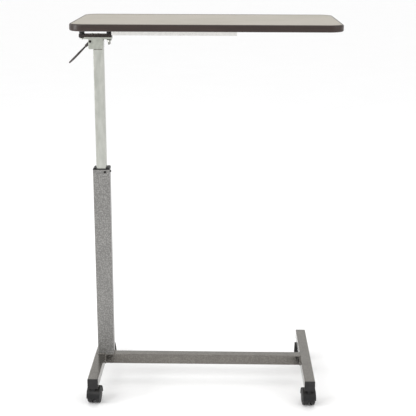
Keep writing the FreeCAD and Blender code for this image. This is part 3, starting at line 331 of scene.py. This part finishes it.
def moulded(name, dark, light, rough, grain, depth, dust):
    """Moulded black plastic: an eroded matt grain, pale scuffs, and dust on what faces up."""
    mix = Finish(name, specular=0.3)
    skin = mix.noise(grain, detail=3, rough=0.6)
    clouds = mix.noise(0.018, detail=3)
    scuffs = mix.noise((0.004, 0.004, 0.012), detail=6, rough=0.75, warp=0.6)
    colour = mix.tint(mix.span(mix.sums("ADD", skin, clouds), 0.75, 1.25), dark, light)
    colour = mix.tint(mix.span(scuffs, 0.66, 0.8, 0, 0.35), colour, srgb(112, 110, 107))
    worn = mix.sums("MULTIPLY", mix.edges(WEAR_REACH), 0.18)
    colour = mix.tint(worn, colour, srgb(120, 118, 116))
    settled = mix.span(mix.facing("Z"), 0.2, 1.0, 0, dust)
    colour = mix.tint(mix.sums("MULTIPLY", settled, clouds), colour, srgb(150, 146, 138))
    gloss = mix.span(mix.sums("ADD", scuffs, skin), 0.7, 1.3, rough - 0.06, rough + 0.1)
    return mix.finish(colour, gloss, mix.relief(skin, depth, mix.rounded(SOFT_EDGE)))


def tread_nylon():
    """The casters' black wheels, greyed and scratched where they meet the floor."""
    mix = Finish("tread_nylon", specular=0.3)
    skin = mix.noise(0.0007, detail=3, rough=0.6)
    scratches = mix.noise((0.0015, 0.0015, 0.008), detail=5, rough=0.75)
    grime = mix.noise(0.006, detail=5, rough=0.7)
    colour = mix.tint(mix.span(skin, 0.3, 0.7), srgb(20, 20, 21), srgb(33, 33, 34))
    colour = mix.tint(mix.span(scratches, 0.6, 0.78, 0, 0.4), colour, srgb(120, 117, 112))
    colour = mix.tint(mix.span(grime, 0.52, 0.75, 0, 0.4), colour, srgb(88, 82, 74))
    rough = mix.span(mix.sums("ADD", scratches, grime), 0.75, 1.3, 0.40, 0.62)
    rub = mix.sums("ADD", skin, scratches)
    return mix.finish(colour, rough, mix.relief(rub, 0.00008, mix.rounded(0.0006)))


def soft_rubber():
    """Matt black rubber bushes with a bloom."""
    mix = Finish("soft_rubber", specular=0.35)
    skin = mix.noise(0.0006, detail=3)
    bloom = mix.noise(0.006, detail=4)
    colour = mix.tint(mix.span(bloom, 0.4, 0.7), srgb(28, 28, 28), srgb(52, 51, 49))
    rough = mix.span(skin, 0.3, 0.7, 0.62, 0.8)
    return mix.finish(colour, rough, mix.relief(skin, 0.0001, mix.rounded(0.0006)))


def pale_nylon():
    """Natural nylon of the guide and the brake housing, with grease on it."""
    mix = Finish("pale_nylon", specular=0.45)
    clouds = mix.noise(0.01, detail=4, rough=0.6)
    colour = mix.tint(mix.span(clouds, 0.35, 0.7), srgb(222, 219, 208), srgb(196, 189, 170))
    skin = mix.noise(0.0008, detail=2)
    rough = mix.span(clouds, 0.3, 0.7, 0.32, 0.5)
    return mix.finish(colour, rough, mix.relief(skin, 0.00004, mix.rounded(SOFT_EDGE)))


def chipboard():
    """The core's pressed wood flakes, seen in its bores."""
    mix = Finish("chipboard", specular=0.3)
    flakes = mix.cells(mix.at((0.004, 0.003, 0.0012)))
    fibre = mix.noise((0.003, 0.003, 0.0008), detail=4)
    colour = mix.tint(mix.span(flakes, 0.1, 0.8), srgb(190, 160, 118), srgb(139, 108, 72))
    colour = mix.tint(mix.span(fibre, 0.45, 0.7, 0, 0.5), colour, srgb(112, 84, 56))
    return mix.finish(colour, 0.82, mix.relief(flakes, 0.0003))


def backing():
    """The matt balancing sheet under the top: a fine paper grain."""
    mix = Finish("backing_paper", specular=0.35)
    fibre = mix.noise((0.02, 0.0012, 0.001), detail=4, rough=0.6)
    clouds = mix.noise(0.12, detail=3)
    share = mix.sums("ADD", mix.span(fibre, 0.3, 0.7, 0, 0.6),
                     mix.span(clouds, 0.3, 0.7, 0, 0.4))
    colour = mix.tint(share, srgb(152, 144, 132), srgb(176, 169, 158))
    rough = mix.span(fibre, 0.3, 0.7, 0.55, 0.7)
    return mix.finish(colour, rough, mix.relief(fibre, 0.00005))


MAST_PAINT = hammer_paint("mast_enamel", srgb(110, 109, 107), srgb(162, 161, 158), cell=0.0040,
                          depth=0.00030, contrast=0.7, rough=0.3, metallic=0.75)
BASE_PAINT = hammer_paint("base_enamel", srgb(98, 95, 91), srgb(146, 143, 137), cell=0.0036,
                          depth=0.00008, contrast=0.5, rough=0.15, metallic=0.92)
COLUMN = column_plate()
RAIL = brushed("rail_zinc", srgb(212, 211, 208), srgb(234, 233, 231), "X", 0.24, 0.38)
BRACKET = brushed("bracket_zinc", srgb(150, 153, 145), srgb(182, 184, 176), "Z", 0.34, 0.5)
ZINC = zinc()
STRAP = dip_paint("strap_enamel", srgb(26, 19, 17), srgb(42, 33, 29), rough=0.6, coat=0.0)
LEVER = dip_paint("lever_enamel", srgb(36, 30, 28), srgb(58, 50, 47), rough=0.36, coat=0.35)
BLACK = moulded("black_plastic", srgb(15, 15, 16), srgb(26, 26, 27), rough=0.5,
                grain=0.0006, depth=0.00005, dust=0.1)
CAP = moulded("cap_plastic", srgb(26, 25, 26), srgb(40, 39, 39), rough=0.55,
              grain=0.0009, depth=0.00009, dust=0.15)
HOOD = moulded("hood_plastic", srgb(12, 12, 13), srgb(22, 22, 24), rough=0.38,
               grain=0.0008, depth=0.00005, dust=0.12)
TREAD = tread_nylon()
RUBBER = soft_rubber()
NYLON = pale_nylon()
CORE = chipboard()
BACKING = backing()
LAMINATE = laminate()
EDGE = edge_vinyl()
SPRING = plain_steel("spring_steel", srgb(92, 90, 88), srgb(128, 126, 122))
BLACKENED = plain_steel("blackened_steel", srgb(34, 33, 33), srgb(62, 60, 58))
# Dark weld colour for the beads under the bracket: painted shade standing for the dark crease where
# the column enters the bracket, partly the weld's own heat tint.
DARK_WELD_SHADE = plain_steel("weld_painted_shade", srgb(58, 52, 48), srgb(112, 104, 94))
STEEL = plain_steel("plain_steel", srgb(120, 119, 116), srgb(154, 152, 148))

FINISH_OF_SLOT = {
    "laminate": LAMINATE, "edge": EDGE, "core": CORE, "backing": BACKING,
    "zinc_steel": ZINC, "dark_steel": STRAP, "bracket_steel": BRACKET,
    "column_chrome": COLUMN, "hammer_paint": MAST_PAINT, "base_paint": BASE_PAINT,
    "mast_steel": STEEL, "black_plastic": BLACK, "caster_plastic": HOOD,
    "wheel_plastic": TREAD, "rubber": RUBBER, "lever_paint": LEVER, "nylon": NYLON,
    "brake_steel": STEEL, "spring_steel": SPRING,
}
OWN_FINISH = {"rail_front": RAIL, "rail_back": RAIL, "lever_pin": BLACKENED}
OWN_FINISH.update({"end_cap_%s_%s" % caster: CAP for caster in CASTERS})


def paint_frame():
    """Give every node of the frame its finish."""
    for row in frame["record"]["subparts"]:
        item = nodes[row["node"]]
        finish = OWN_FINISH.get(row["node"], FINISH_OF_SLOT[row["material_slot"]])
        item.data.materials.clear()
        item.data.materials.append(finish)


# --------------------------------------------------------------- mesh making

SAME_PLACE = 1e-6       # points nearer than this are one point


def mesh_object(name, mesh):
    """A new object in the scene that shows the mesh."""
    item = bpy.data.objects.new(name, mesh)
    bpy.context.scene.collection.objects.link(item)
    return item


def from_points(name, points, faces=(), lines=()):
    """A mesh object from its points, and the faces or lines that join them."""
    mesh = bpy.data.meshes.new(name)
    mesh.from_pydata([tuple(point) for point in points], list(lines), list(faces))
    mesh.update()
    return mesh_object(name, mesh)


def face_outwards(item):
    """Merge a mesh's doubles and turn its faces outwards."""
    shape = bmesh.new()
    shape.from_mesh(item.data)
    bmesh.ops.remove_doubles(shape, verts=shape.verts, dist=SAME_PLACE)
    bmesh.ops.recalc_face_normals(shape, faces=shape.faces)
    shape.to_mesh(item.data)
    shape.free()


def smooth_by_angle(item, degrees=35):
    """Shade a mesh smoothly, except over edges that bend by more than the angle."""
    for face in item.data.polygons:
        face.use_smooth = True
    item.data.set_sharp_from_angle(angle=math.radians(degrees))


def lathe(name, outline, turns):
    """A closed solid of revolution round Z, from (radius, height) points, lowest first."""
    points = [Vector((0, 0, outline[0][1]))]
    for radius, height in outline:
        for step in range(turns):
            angle = 2 * math.pi * step / turns
            points.append(Vector((radius * math.cos(angle), radius * math.sin(angle), height)))
    points.append(Vector((0, 0, outline[-1][1])))
    faces = []
    for ring in range(len(outline) - 1):
        for step in range(turns):
            low = 1 + ring * turns
            after = (step + 1) % turns
            faces.append((low + step, low + after, low + turns + after, low + turns + step))
    last = len(points) - 1
    for step in range(turns):
        after = (step + 1) % turns
        faces.append((0, 1 + after, 1 + step))
        faces.append((last, last - turns + step, last - turns + after))
    item = from_points(name, points, faces)
    face_outwards(item)
    smooth_by_angle(item)
    return item


def baked(item, name):
    """Turn an object and its modifiers into a plain mesh of the given name."""
    bpy.context.view_layer.update()
    graph = bpy.context.evaluated_depsgraph_get()
    mesh = bpy.data.meshes.new_from_object(item.evaluated_get(graph), depsgraph=graph)
    result = mesh_object(name, mesh)
    bpy.data.objects.remove(item)
    return result


def joined(item, tools, name):
    """Cut, add or keep by other solids in turn, then drop them and keep the plain mesh."""
    for tool, operation in tools:
        modifier = item.modifiers.new("shape", "BOOLEAN")
        modifier.operation = operation
        modifier.solver = "EXACT"
        modifier.object = tool
    result = baked(item, name)
    for tool, operation in tools:
        bpy.data.objects.remove(tool)
    return result


def solids_of(node):
    """The box of each separate solid in a node, as (lowest, highest) corners."""
    shape = bmesh.new()
    shape.from_mesh(nodes[node].data)
    bmesh.ops.remove_doubles(shape, verts=shape.verts, dist=SAME_PLACE)
    left = set(shape.verts)
    boxes = []
    while left:
        group, border = set(), [left.pop()]
        while border:
            vertex = border.pop()
            group.add(vertex)
            for link in vertex.link_edges:
                other = link.other_vert(vertex)
                if other in left:
                    left.discard(other)
                    border.append(other)
        low, high = [Vector([pick(vertex.co[axis] for vertex in group) for axis in range(3)])
                     for pick in (min, max)]
        boxes.append((low, high))
    shape.free()
    return sorted(boxes, key=lambda box: tuple(round(part, 5) for part in box[0]))


def middles(boxes, height):
    """The middle of each box in plan, all at one height."""
    return [Vector(((low.x + high.x) / 2, (low.y + high.y) / 2, height)) for low, high in boxes]


# ----------------------------------------------------------- geometry recipes

def new_tree(name, inputs):
    """An empty geometry recipe with named inputs; returns the tree, its start and its end."""
    tree = bpy.data.node_groups.new(name, "GeometryNodeTree")
    tree.interface.new_socket("Geometry", in_out="INPUT", socket_type="NodeSocketGeometry")
    tree.interface.new_socket("Geometry", in_out="OUTPUT", socket_type="NodeSocketGeometry")
    for label, kind in inputs:
        tree.interface.new_socket(label, in_out="INPUT", socket_type=kind)
    return tree, tree.nodes.new("NodeGroupInput"), tree.nodes.new("NodeGroupOutput")


def add_node(tree, kind, joins=(), **settings):
    """A node with its properties set and its inputs joined or filled by name."""
    item = tree.nodes.new(kind)
    for key, value in settings.items():
        setattr(item, key, value)
    for socket, value in dict(joins).items():
        target = item.inputs[socket]
        if isinstance(value, bpy.types.NodeSocket):
            tree.links.new(value, target)
        else:
            target.default_value = value
    return item


def close_tree(tree, end, geometry, material):
    """Every recipe ends the same way: real geometry with its finish set."""
    real = add_node(tree, "GeometryNodeRealizeInstances", {"Geometry": geometry})
    done = add_node(tree, "GeometryNodeSetMaterial", {"Geometry": real.outputs[0],
                                                      "Material": material})
    tree.links.new(done.outputs[0], end.inputs["Geometry"])
    return tree


def weld_recipe():
    """A rippled weld bead along every edge of a wire mesh."""
    steps_to_ripple, sides, unevenness = 8.0, 12, 160.0
    tree, start, end = new_tree("weld_bead", [
        ("Radius", "NodeSocketFloat"), ("Ripple", "NodeSocketFloat"),
        ("Swell", "NodeSocketFloat"), ("Finish", "NodeSocketMaterial")])
    radius, ripple, swell = (start.outputs[label] for label in ("Radius", "Ripple", "Swell"))

    def sums(operation, *terms):
        """One sum of the terms, as a socket."""
        item = add_node(tree, "ShaderNodeMath", dict(enumerate(terms)), operation=operation)
        return item.outputs[0]

    curve = add_node(tree, "GeometryNodeMeshToCurve", {"Mesh": start.outputs["Geometry"]})
    step = sums("DIVIDE", ripple, steps_to_ripple)
    fine = add_node(tree, "GeometryNodeResampleCurve",
                    {"Curve": curve.outputs[0], "Length": step}, mode="LENGTH")
    along = add_node(tree, "GeometryNodeSplineParameter")
    phase = sums("MULTIPLY", sums("DIVIDE", along.outputs["Length"], ripple), math.pi)
    crest = sums("ABSOLUTE", sums("SINE", phase))
    place = add_node(tree, "GeometryNodeInputPosition")
    uneven = add_node(tree, "ShaderNodeTexNoise",
                      {"Vector": place.outputs[0], "Scale": unevenness, "Detail": 1.0})
    size = sums("ADD", sums("MULTIPLY", sums("ADD", crest, uneven.outputs[0]), swell), radius)
    ring = add_node(tree, "GeometryNodeCurvePrimitiveCircle", {"Resolution": sides, "Radius": 1.0})
    bead = add_node(tree, "GeometryNodeCurveToMesh", {
        "Curve": fine.outputs[0], "Profile Curve": ring.outputs[0], "Scale": size,
        "Fill Caps": True})
    soft = add_node(tree, "GeometryNodeSetShadeSmooth", {"Geometry": bead.outputs[0]})
    return close_tree(tree, end, soft.outputs[0], start.outputs["Finish"])


def screw_recipe():
    """One fastener on every point of a mesh, turned to face along it and spun at random."""
    tree, start, end = new_tree("screw_row", [
        ("Fastener", "NodeSocketObject"), ("Facing", "NodeSocketVector"),
        ("Seed", "NodeSocketInt"), ("Finish", "NodeSocketMaterial")])
    info = add_node(tree, "GeometryNodeObjectInfo", {"Object": start.outputs["Fastener"]})
    spin = add_node(tree, "FunctionNodeRandomValue", {"Seed": start.outputs["Seed"]})
    turn = add_node(tree, "ShaderNodeMath", {0: spin.outputs[1], 1: 2 * math.pi},
                    operation="MULTIPLY")
    about = add_node(tree, "ShaderNodeCombineXYZ", {"Z": turn.outputs[0]})
    spun = add_node(tree, "FunctionNodeEulerToRotation", {0: about.outputs[0]})
    aim = add_node(tree, "FunctionNodeAlignRotationToVector",
                   {"Vector": start.outputs["Facing"]}, axis="Z")
    both = add_node(tree, "FunctionNodeRotateRotation",
                    {"Rotation": aim.outputs[0], "Rotate By": spun.outputs[0]},
                    rotation_space="LOCAL")
    row = add_node(tree, "GeometryNodeInstanceOnPoints", {
        "Points": start.outputs["Geometry"], "Instance": info.outputs["Geometry"],
        "Rotation": both.outputs[0]})
    return close_tree(tree, end, row.outputs[0], start.outputs["Finish"])


WELDS = weld_recipe()
SCREWS = screw_recipe()


def run_recipe(item, tree, values, name):
    """Put a recipe on an object, fill its inputs and keep the result as a plain mesh."""
    modifier = item.modifiers.new("recipe", "NODES")
    modifier.node_group = tree
    sockets = {socket.name: socket.identifier for socket in tree.interface.items_tree
               if socket.in_out == "INPUT"}
    for label, value in values.items():
        modifier[sockets[label]] = value
    return baked(item, name)


def welds(name, runs, body, finish, radius):
    """Weld beads along straight runs, each given by its two ends."""
    ripple, swell_share = 0.0026, 0.2
    points = [point for run in runs for point in run]
    lines = [(2 * number, 2 * number + 1) for number in range(len(runs))]
    wire = from_points(name + "_wire", points, lines=lines)
    bead = run_recipe(wire, WELDS, {
        "Radius": radius * (1 - swell_share), "Ripple": ripple, "Swell": radius * swell_share,
        "Finish": finish}, name)
    face_outwards(bead)
    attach(bead, body)


def screws(name, fastener, places, facing, seed, finish):
    """A row of one fastener at the given places, all facing the same way."""
    points = from_points(name + "_points", places)
    row = run_recipe(points, SCREWS, {"Fastener": fastener, "Facing": facing, "Seed": seed,
                                      "Finish": finish}, name)
    bpy.data.objects.remove(fastener)
    return row


# ------------------------------------------------------------------ edge trim

def trim_profile(thick, height, lip, land):
    """The trim's cross-section: up its lip, outwards and round underneath."""
    steps = 7
    groove = 0.0004
    bend = thick - land
    outline = [(0.0, height - lip - groove), (0.0, height - groove), (groove, height)]
    for step in range(steps + 1):
        angle = math.pi / 2 * step / steps
        outline.append((land + bend * math.sin(angle), height - bend + bend * math.cos(angle)))
    for share in (0.75, 0.5, 0.25):
        outline.append((thick, bend + (height - 2 * bend) * share))
    for step in range(steps + 1):
        angle = math.pi / 2 * step / steps
        outline.append((land + bend * math.cos(angle), bend - bend * math.sin(angle)))
    return outline + [(groove, 0.0), (0.0, groove * 1.2)]


def trim_path(low, high, thick, corner):
    """Stations round the top's inner outline: a point and its outward direction."""
    steps = 20
    butt_gap = 0.0002
    inner = corner - thick
    left, right = low.x + corner, high.x - corner
    front, back = low.y + corner, high.y - corner
    corners = [(right, back, 90), (right, front, 0), (left, front, -90), (left, back, -180)]
    stations = []
    for x, y, start in corners:
        for step in range(steps + 1):
            angle = math.radians(start - 90 * step / steps)
            out = Vector((math.cos(angle), math.sin(angle), 0))
            stations.append((Vector((x, y, 0)) + out * inner, out))
    middle = Vector(((low.x + high.x) / 2, back + inner, 0))
    out = Vector((0, 1, 0))
    gap = Vector((butt_gap, 0, 0))
    return [(middle + gap, out)] + stations + [(middle - gap, out)]


def running_lengths(points):
    """How far along a line each of its points lies."""
    lengths = [0.0]
    for before, after in zip(points, points[1:]):
        lengths.append(lengths[-1] + math.dist(before, after))
    return lengths


def make_edge_trim():
    """The moulded strip round the top: one length, butted at the middle of the back."""
    corner, land = 0.042, 0.0006
    low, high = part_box("edge_band")
    skin_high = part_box("tabletop_laminate")[1]
    thick = high.x - skin_high.x
    outline = trim_profile(thick, high.z - low.z, high.z - skin_high.z, land)
    stations = trim_path(low, high, thick, corner)
    points = [place + out * reach + Vector((0, 0, low.z + rise))
              for place, out in stations for reach, rise in outline]
    ring = len(outline)
    faces = []
    for number in range(len(stations) - 1):
        first = number * ring
        for step in range(ring):
            after = (step + 1) % ring
            faces.append((first + step, first + after, first + ring + after, first + ring + step))
    faces.append(tuple(range(ring)))
    faces.append(tuple(reversed(range((len(stations) - 1) * ring, len(stations) * ring))))
    trim = from_points("edge_trim", points, faces)
    along = running_lengths([place for place, out in stations])
    around = running_lengths(outline)
    uv = trim.data.uv_layers.new(name="trim")
    for loop in trim.data.loops:
        station, step = divmod(loop.vertex_index, ring)
        uv.data[loop.index].uv = (along[station], around[step])
    face_outwards(trim)
    smooth_by_angle(trim, 30)
    trim.data.materials.append(EDGE)
    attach(trim, "column")
    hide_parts("edge_band")


# --------------------------------------------------------- screws and bolts

def cut_recess(screw, head_radius, head_height, name):
    """Cut a tapered cross in the head of a screw that points up."""
    arm, width = head_radius * 0.55, head_radius * 0.17
    floor, floor_share = head_height * 0.35, 0.55
    wings = []
    for turn in (0, math.pi / 2):
        cutter = bmesh.new()
        bmesh.ops.create_cube(cutter, size=1.0)
        for vertex in cutter.verts:
            x, y, z = vertex.co
            taper, level = (floor_share, floor) if z < 0 else (1.0, head_height * 1.5)
            vertex.co = (x * 2 * arm * taper, y * 2 * width * taper, level)
        cutter.transform(Matrix.Rotation(turn, 4, "Z"))
        mesh = bpy.data.meshes.new("wing")
        cutter.to_mesh(mesh)
        cutter.free()
        wings.append(mesh_object("wing", mesh))
    screw = joined(screw, [(wing, "DIFFERENCE") for wing in wings], name)
    smooth_by_angle(screw, 40)
    return screw


def cross_screw(name, head_radius, head_height, shank_radius, shank_length):
    """A cross-head screw that points up, with its head's seat at the origin."""
    pitch = shank_radius * 0.55
    dome_steps = 6
    outline = [(0.0002, -shank_length), (shank_radius * 0.55, -shank_length + shank_radius)]
    height = -shank_length + 2 * shank_radius
    while height < -pitch * 1.5:
        outline += [(shank_radius * 0.8, height), (shank_radius, height + pitch / 2)]
        height += pitch
    outline += [(shank_radius, -pitch * 0.5), (shank_radius, 0.0), (head_radius * 0.96, 0.0),
                (head_radius, head_height * 0.15)]
    for step in range(1, dome_steps):
        angle = math.pi / 2 * step / dome_steps
        outline.append((head_radius * math.cos(angle * 0.92),
                        head_height * (0.15 + 0.85 * math.sin(angle))))
    return cut_recess(lathe(name, outline, 24), head_radius, head_height, name)


def hex_bolt(name, flats, head, radius, tail, grip):
    """A hexagon head or nut that hangs below the origin, chamfered, with a threaded tail."""
    pitch, root_share = 0.001, 0.86
    corner, crown = flats / math.sqrt(3), flats * 0.47
    chamfer = (corner - crown) * 0.5
    outline = [(radius * 0.8, -head - tail)]
    height = -head - tail
    while tail and height < -head - pitch:
        outline += [(radius, height + pitch / 2), (radius * root_share, height + pitch)]
        height += pitch
    shank = lathe("shank", outline + [(radius, -head * 0.5), (radius, grip)], 24)
    blank = lathe("blank", [(crown, -head), (corner, -head + chamfer), (corner, -chamfer),
                            (crown, 0)], 48)
    points = []
    for level in (-head * 1.5, head * 0.5):
        for step in range(6):
            angle = math.pi / 3 * step
            points.append((corner * math.cos(angle), corner * math.sin(angle), level))
    sides = [(step, (step + 1) % 6, 6 + (step + 1) % 6, 6 + step) for step in range(6)]
    ends = [tuple(reversed(range(6))), tuple(range(6, 12))]
    prism = from_points("prism", points, sides + ends)
    bolt = joined(blank, [(prism, "INTERSECT"), (shank, "UNION")], name)
    smooth_by_angle(bolt, 30)
    return bolt


def make_bolts():
    """The strap's bolts at the left, and its studs with nuts at the right."""
    head, radius, stud_tail = 0.004, 0.003, 0.009
    boxes = solids_of("strap_bolts")
    bracket_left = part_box("column_bracket")[0].x
    left = [box for box in boxes if box[0].x < bracket_left]
    right = [box for box in boxes if box[0].x >= bracket_left]
    low, high = left[0]
    flats = min(high.x - low.x, high.y - low.y)
    for number, (group, tail) in enumerate(((left, 0.0), (right, stud_tail))):
        seat = min(box[0].z for box in group) + tail + head
        bolt = hex_bolt("bolt", flats, head, radius, tail, group[0][1].z - seat)
        row = screws("strap_bolt_row_%d" % number, bolt, middles(group, seat), (0, 0, 1),
                     11 + number, ZINC)
        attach(row, "column")
    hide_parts("strap_bolts")


def make_rail_screws():
    """Wood screws that hold the rails up to the core, their heads under the rails."""
    rail_wall = 0.002
    boxes = solids_of("rail_screws")
    low, high = boxes[0]
    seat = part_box("rail_front")[1].z - rail_wall
    head = (high.x - low.x) / 2
    screw = cross_screw("wood_screw", head, seat - low.z, head / 2, high.z - seat)
    row = screws("rail_screw_heads", screw, middles(boxes, seat), (0, 0, -1), 3, ZINC)
    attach(row, "column")
    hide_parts("rail_screws")


def make_strap_screws():
    """Machine screws that hold the strap down to the bracket's plate."""
    boxes = solids_of("strap_screws")
    low, high = boxes[0]
    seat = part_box("mounting_strap")[1].z
    head = (high.x - low.x) / 2
    screw = cross_screw("machine_screw", head, high.z - seat, head / 1.8, seat - low.z)
    row = screws("strap_screw_heads", screw, middles(boxes, seat), (0, 0, 1), 5, ZINC)
    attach(row, "column")
    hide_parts("strap_screws")


def make_collar_screws():
    """Dark screws through the mast into its glide collar, one in front and one at the right."""
    mast_low, mast_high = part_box("outer_mast")
    front, side = sorted(solids_of("collar_screws"), key=lambda box: box[1].x)
    front_seat, side_seat = (front[0] + front[1]) / 2, (side[0] + side[1]) / 2
    front_seat.y = mast_low.y
    side_seat.x = mast_high.x
    for number, (box, seat, facing) in enumerate((
            (front, front_seat, Vector((0, -1, 0))), (side, side_seat, Vector((1, 0, 0))))):
        radius = (box[1].z - box[0].z) / 2
        length = abs((box[1] - box[0]).dot(facing))
        rise = max((end - seat).dot(facing) for end in box)
        screw = cross_screw("collar_screw", radius, rise, radius / 1.8, length - rise)
        row = screws("collar_screw_%d" % number, screw, [seat], facing, 7 + number, BLACKENED)
        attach(row, "base")
    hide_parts("collar_screws")


# --------------------------------------------------------------------- welds

def make_welds():
    """Beads where the mast, the feet, the beam and the bracket were welded."""
    round_over = 0.0025
    base_bead, cap_bead, cap_sunk, bracket_bead = 0.0024, 0.0016, 0.0008, 0.0018
    mast_low, mast_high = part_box("outer_mast")
    beam_low, beam_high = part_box("cross_beam")
    left_foot_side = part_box("left_foot")[1].x
    right_foot_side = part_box("right_foot")[0].x
    top = beam_high.z
    near, far = beam_low.y + round_over, beam_high.y - round_over
    runs = []
    for x in (left_foot_side, right_foot_side):
        for y in (beam_low.y, beam_high.y):
            runs.append((Vector((x, y, beam_low.z + round_over)), Vector((x, y, top - round_over))))
        runs.append((Vector((x, near, beam_low.z)), Vector((x, far, beam_low.z))))
    for y in (mast_low.y, mast_high.y):
        runs.append((Vector((mast_low.x + round_over, y, top)), Vector((left_foot_side, y, top))))
    for x in (mast_low.x, mast_high.x):
        runs.append((Vector((x, mast_low.y + round_over, top)),
                     Vector((x, mast_high.y - round_over, top))))
    welds("base_welds", runs, "base", BASE_PAINT, base_bead)

    level = top - cap_sunk
    flush = (Vector((right_foot_side, near, level)), Vector((right_foot_side, far, level)))
    welds("beam_cap_weld", [flush], "base", BASE_PAINT, cap_bead)

    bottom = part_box("column_bracket")[0].z
    tube_low, tube_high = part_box("inner_column")
    runs = [(Vector((tube_low.x + round_over, y, bottom)),
             Vector((tube_high.x - round_over, y, bottom))) for y in (tube_low.y, tube_high.y)]
    # These beads take the dark weld colour, painted shade for the crease under the bracket.
    welds("bracket_welds", runs, "column", DARK_WELD_SHADE, bracket_bead)


# ------------------------------------------------------------------- springs

def make_springs():
    """Each spring again as its own smooth-shaded copy where the part was, with the part hidden."""
    held_between = {"lift_spring": ("base", "column"), "brake_spring": ("column", "release_rod")}
    for node, (still, sliding) in held_between.items():
        spring = mesh_object("v_" + node, nodes[node].data.copy())
        smooth_by_angle(spring)
        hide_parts(node)
        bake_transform(spring)


# ---------------------------------------------------------------------- stage

def make_stage():
    """A plain pale floor under soft studio light."""
    half = 40.0
    corners = [(-half, -half, 0), (half, -half, 0), (half, half, 0), (-half, half, 0)]
    floor = from_points("floor", corners, [(0, 1, 2, 3)])
    mix = Finish("floor_paper", specular=0.2)
    shade = mix.tint(mix.noise(0.4, detail=2), (0.93, 0.93, 0.93, 1), (0.95, 0.95, 0.95, 1))
    floor.data.materials.append(mix.finish(shade, 0.8))
    world = bpy.data.worlds.new("studio")
    bpy.context.scene.world = world
    world.use_nodes = True
    sky = world.node_tree.nodes["Background"]
    sky.inputs["Color"].default_value = (1.0, 1.0, 1.0, 1.0)
    sky.inputs["Strength"].default_value = 1.04
    light("key", place=(-2.2, -2.6, 2.6), target=(0, 0, 0.7), size=1.6, power=26)
    light("fill", place=(2.6, -1.6, 1.8), target=(0, 0, 0.6), size=1.6, power=12)
    light("side", place=(-2.9, -1.3, 1.3), target=(-0.3, -0.15, 1.12), size=1.0, power=30)
    light("top", place=(0.2, 0.6, 3.2), target=(0, 0, 0.9), size=1.8, power=12)


def light(name, place, target, size, power):
    """A round soft lamp at a place, turned to its target."""
    lamp = bpy.data.lights.new(name, "AREA")
    lamp.shape = "DISK"
    lamp.size = size
    lamp.energy = power
    item = bpy.data.objects.new(name, lamp)
    item.location = place
    item.rotation_euler = (Vector(target) - Vector(place)).to_track_quat("-Z", "Y").to_euler()
    bpy.context.scene.collection.objects.link(item)


def make_camera():
    """A long lens in front of the table, a little above the top's height."""
    place = Vector((0.0678, -2.9055, 1.3783))
    yaw, pitch, roll = -0.0179, 0.2709, -0.0029
    lens = bpy.data.cameras.new("camera")
    lens.sensor_width = 36.0
    lens.lens = 84.92
    lens.clip_end = 200
    item = bpy.data.objects.new("camera", lens)
    item.matrix_world = (Matrix.Translation(place) @ Matrix.Rotation(-yaw, 4, "Z")
                         @ Matrix.Rotation(math.pi / 2 - pitch, 4, "X")
                         @ Matrix.Rotation(-roll, 4, "Z"))
    bpy.context.scene.collection.objects.link(item)
    bpy.context.scene.camera = item


make_camera()
make_stage()
bpy.context.scene.view_settings.view_transform = "Standard"
paint_frame()
make_edge_trim()
make_welds()
make_rail_screws()
make_strap_screws()
make_collar_screws()
make_bolts()
make_springs()
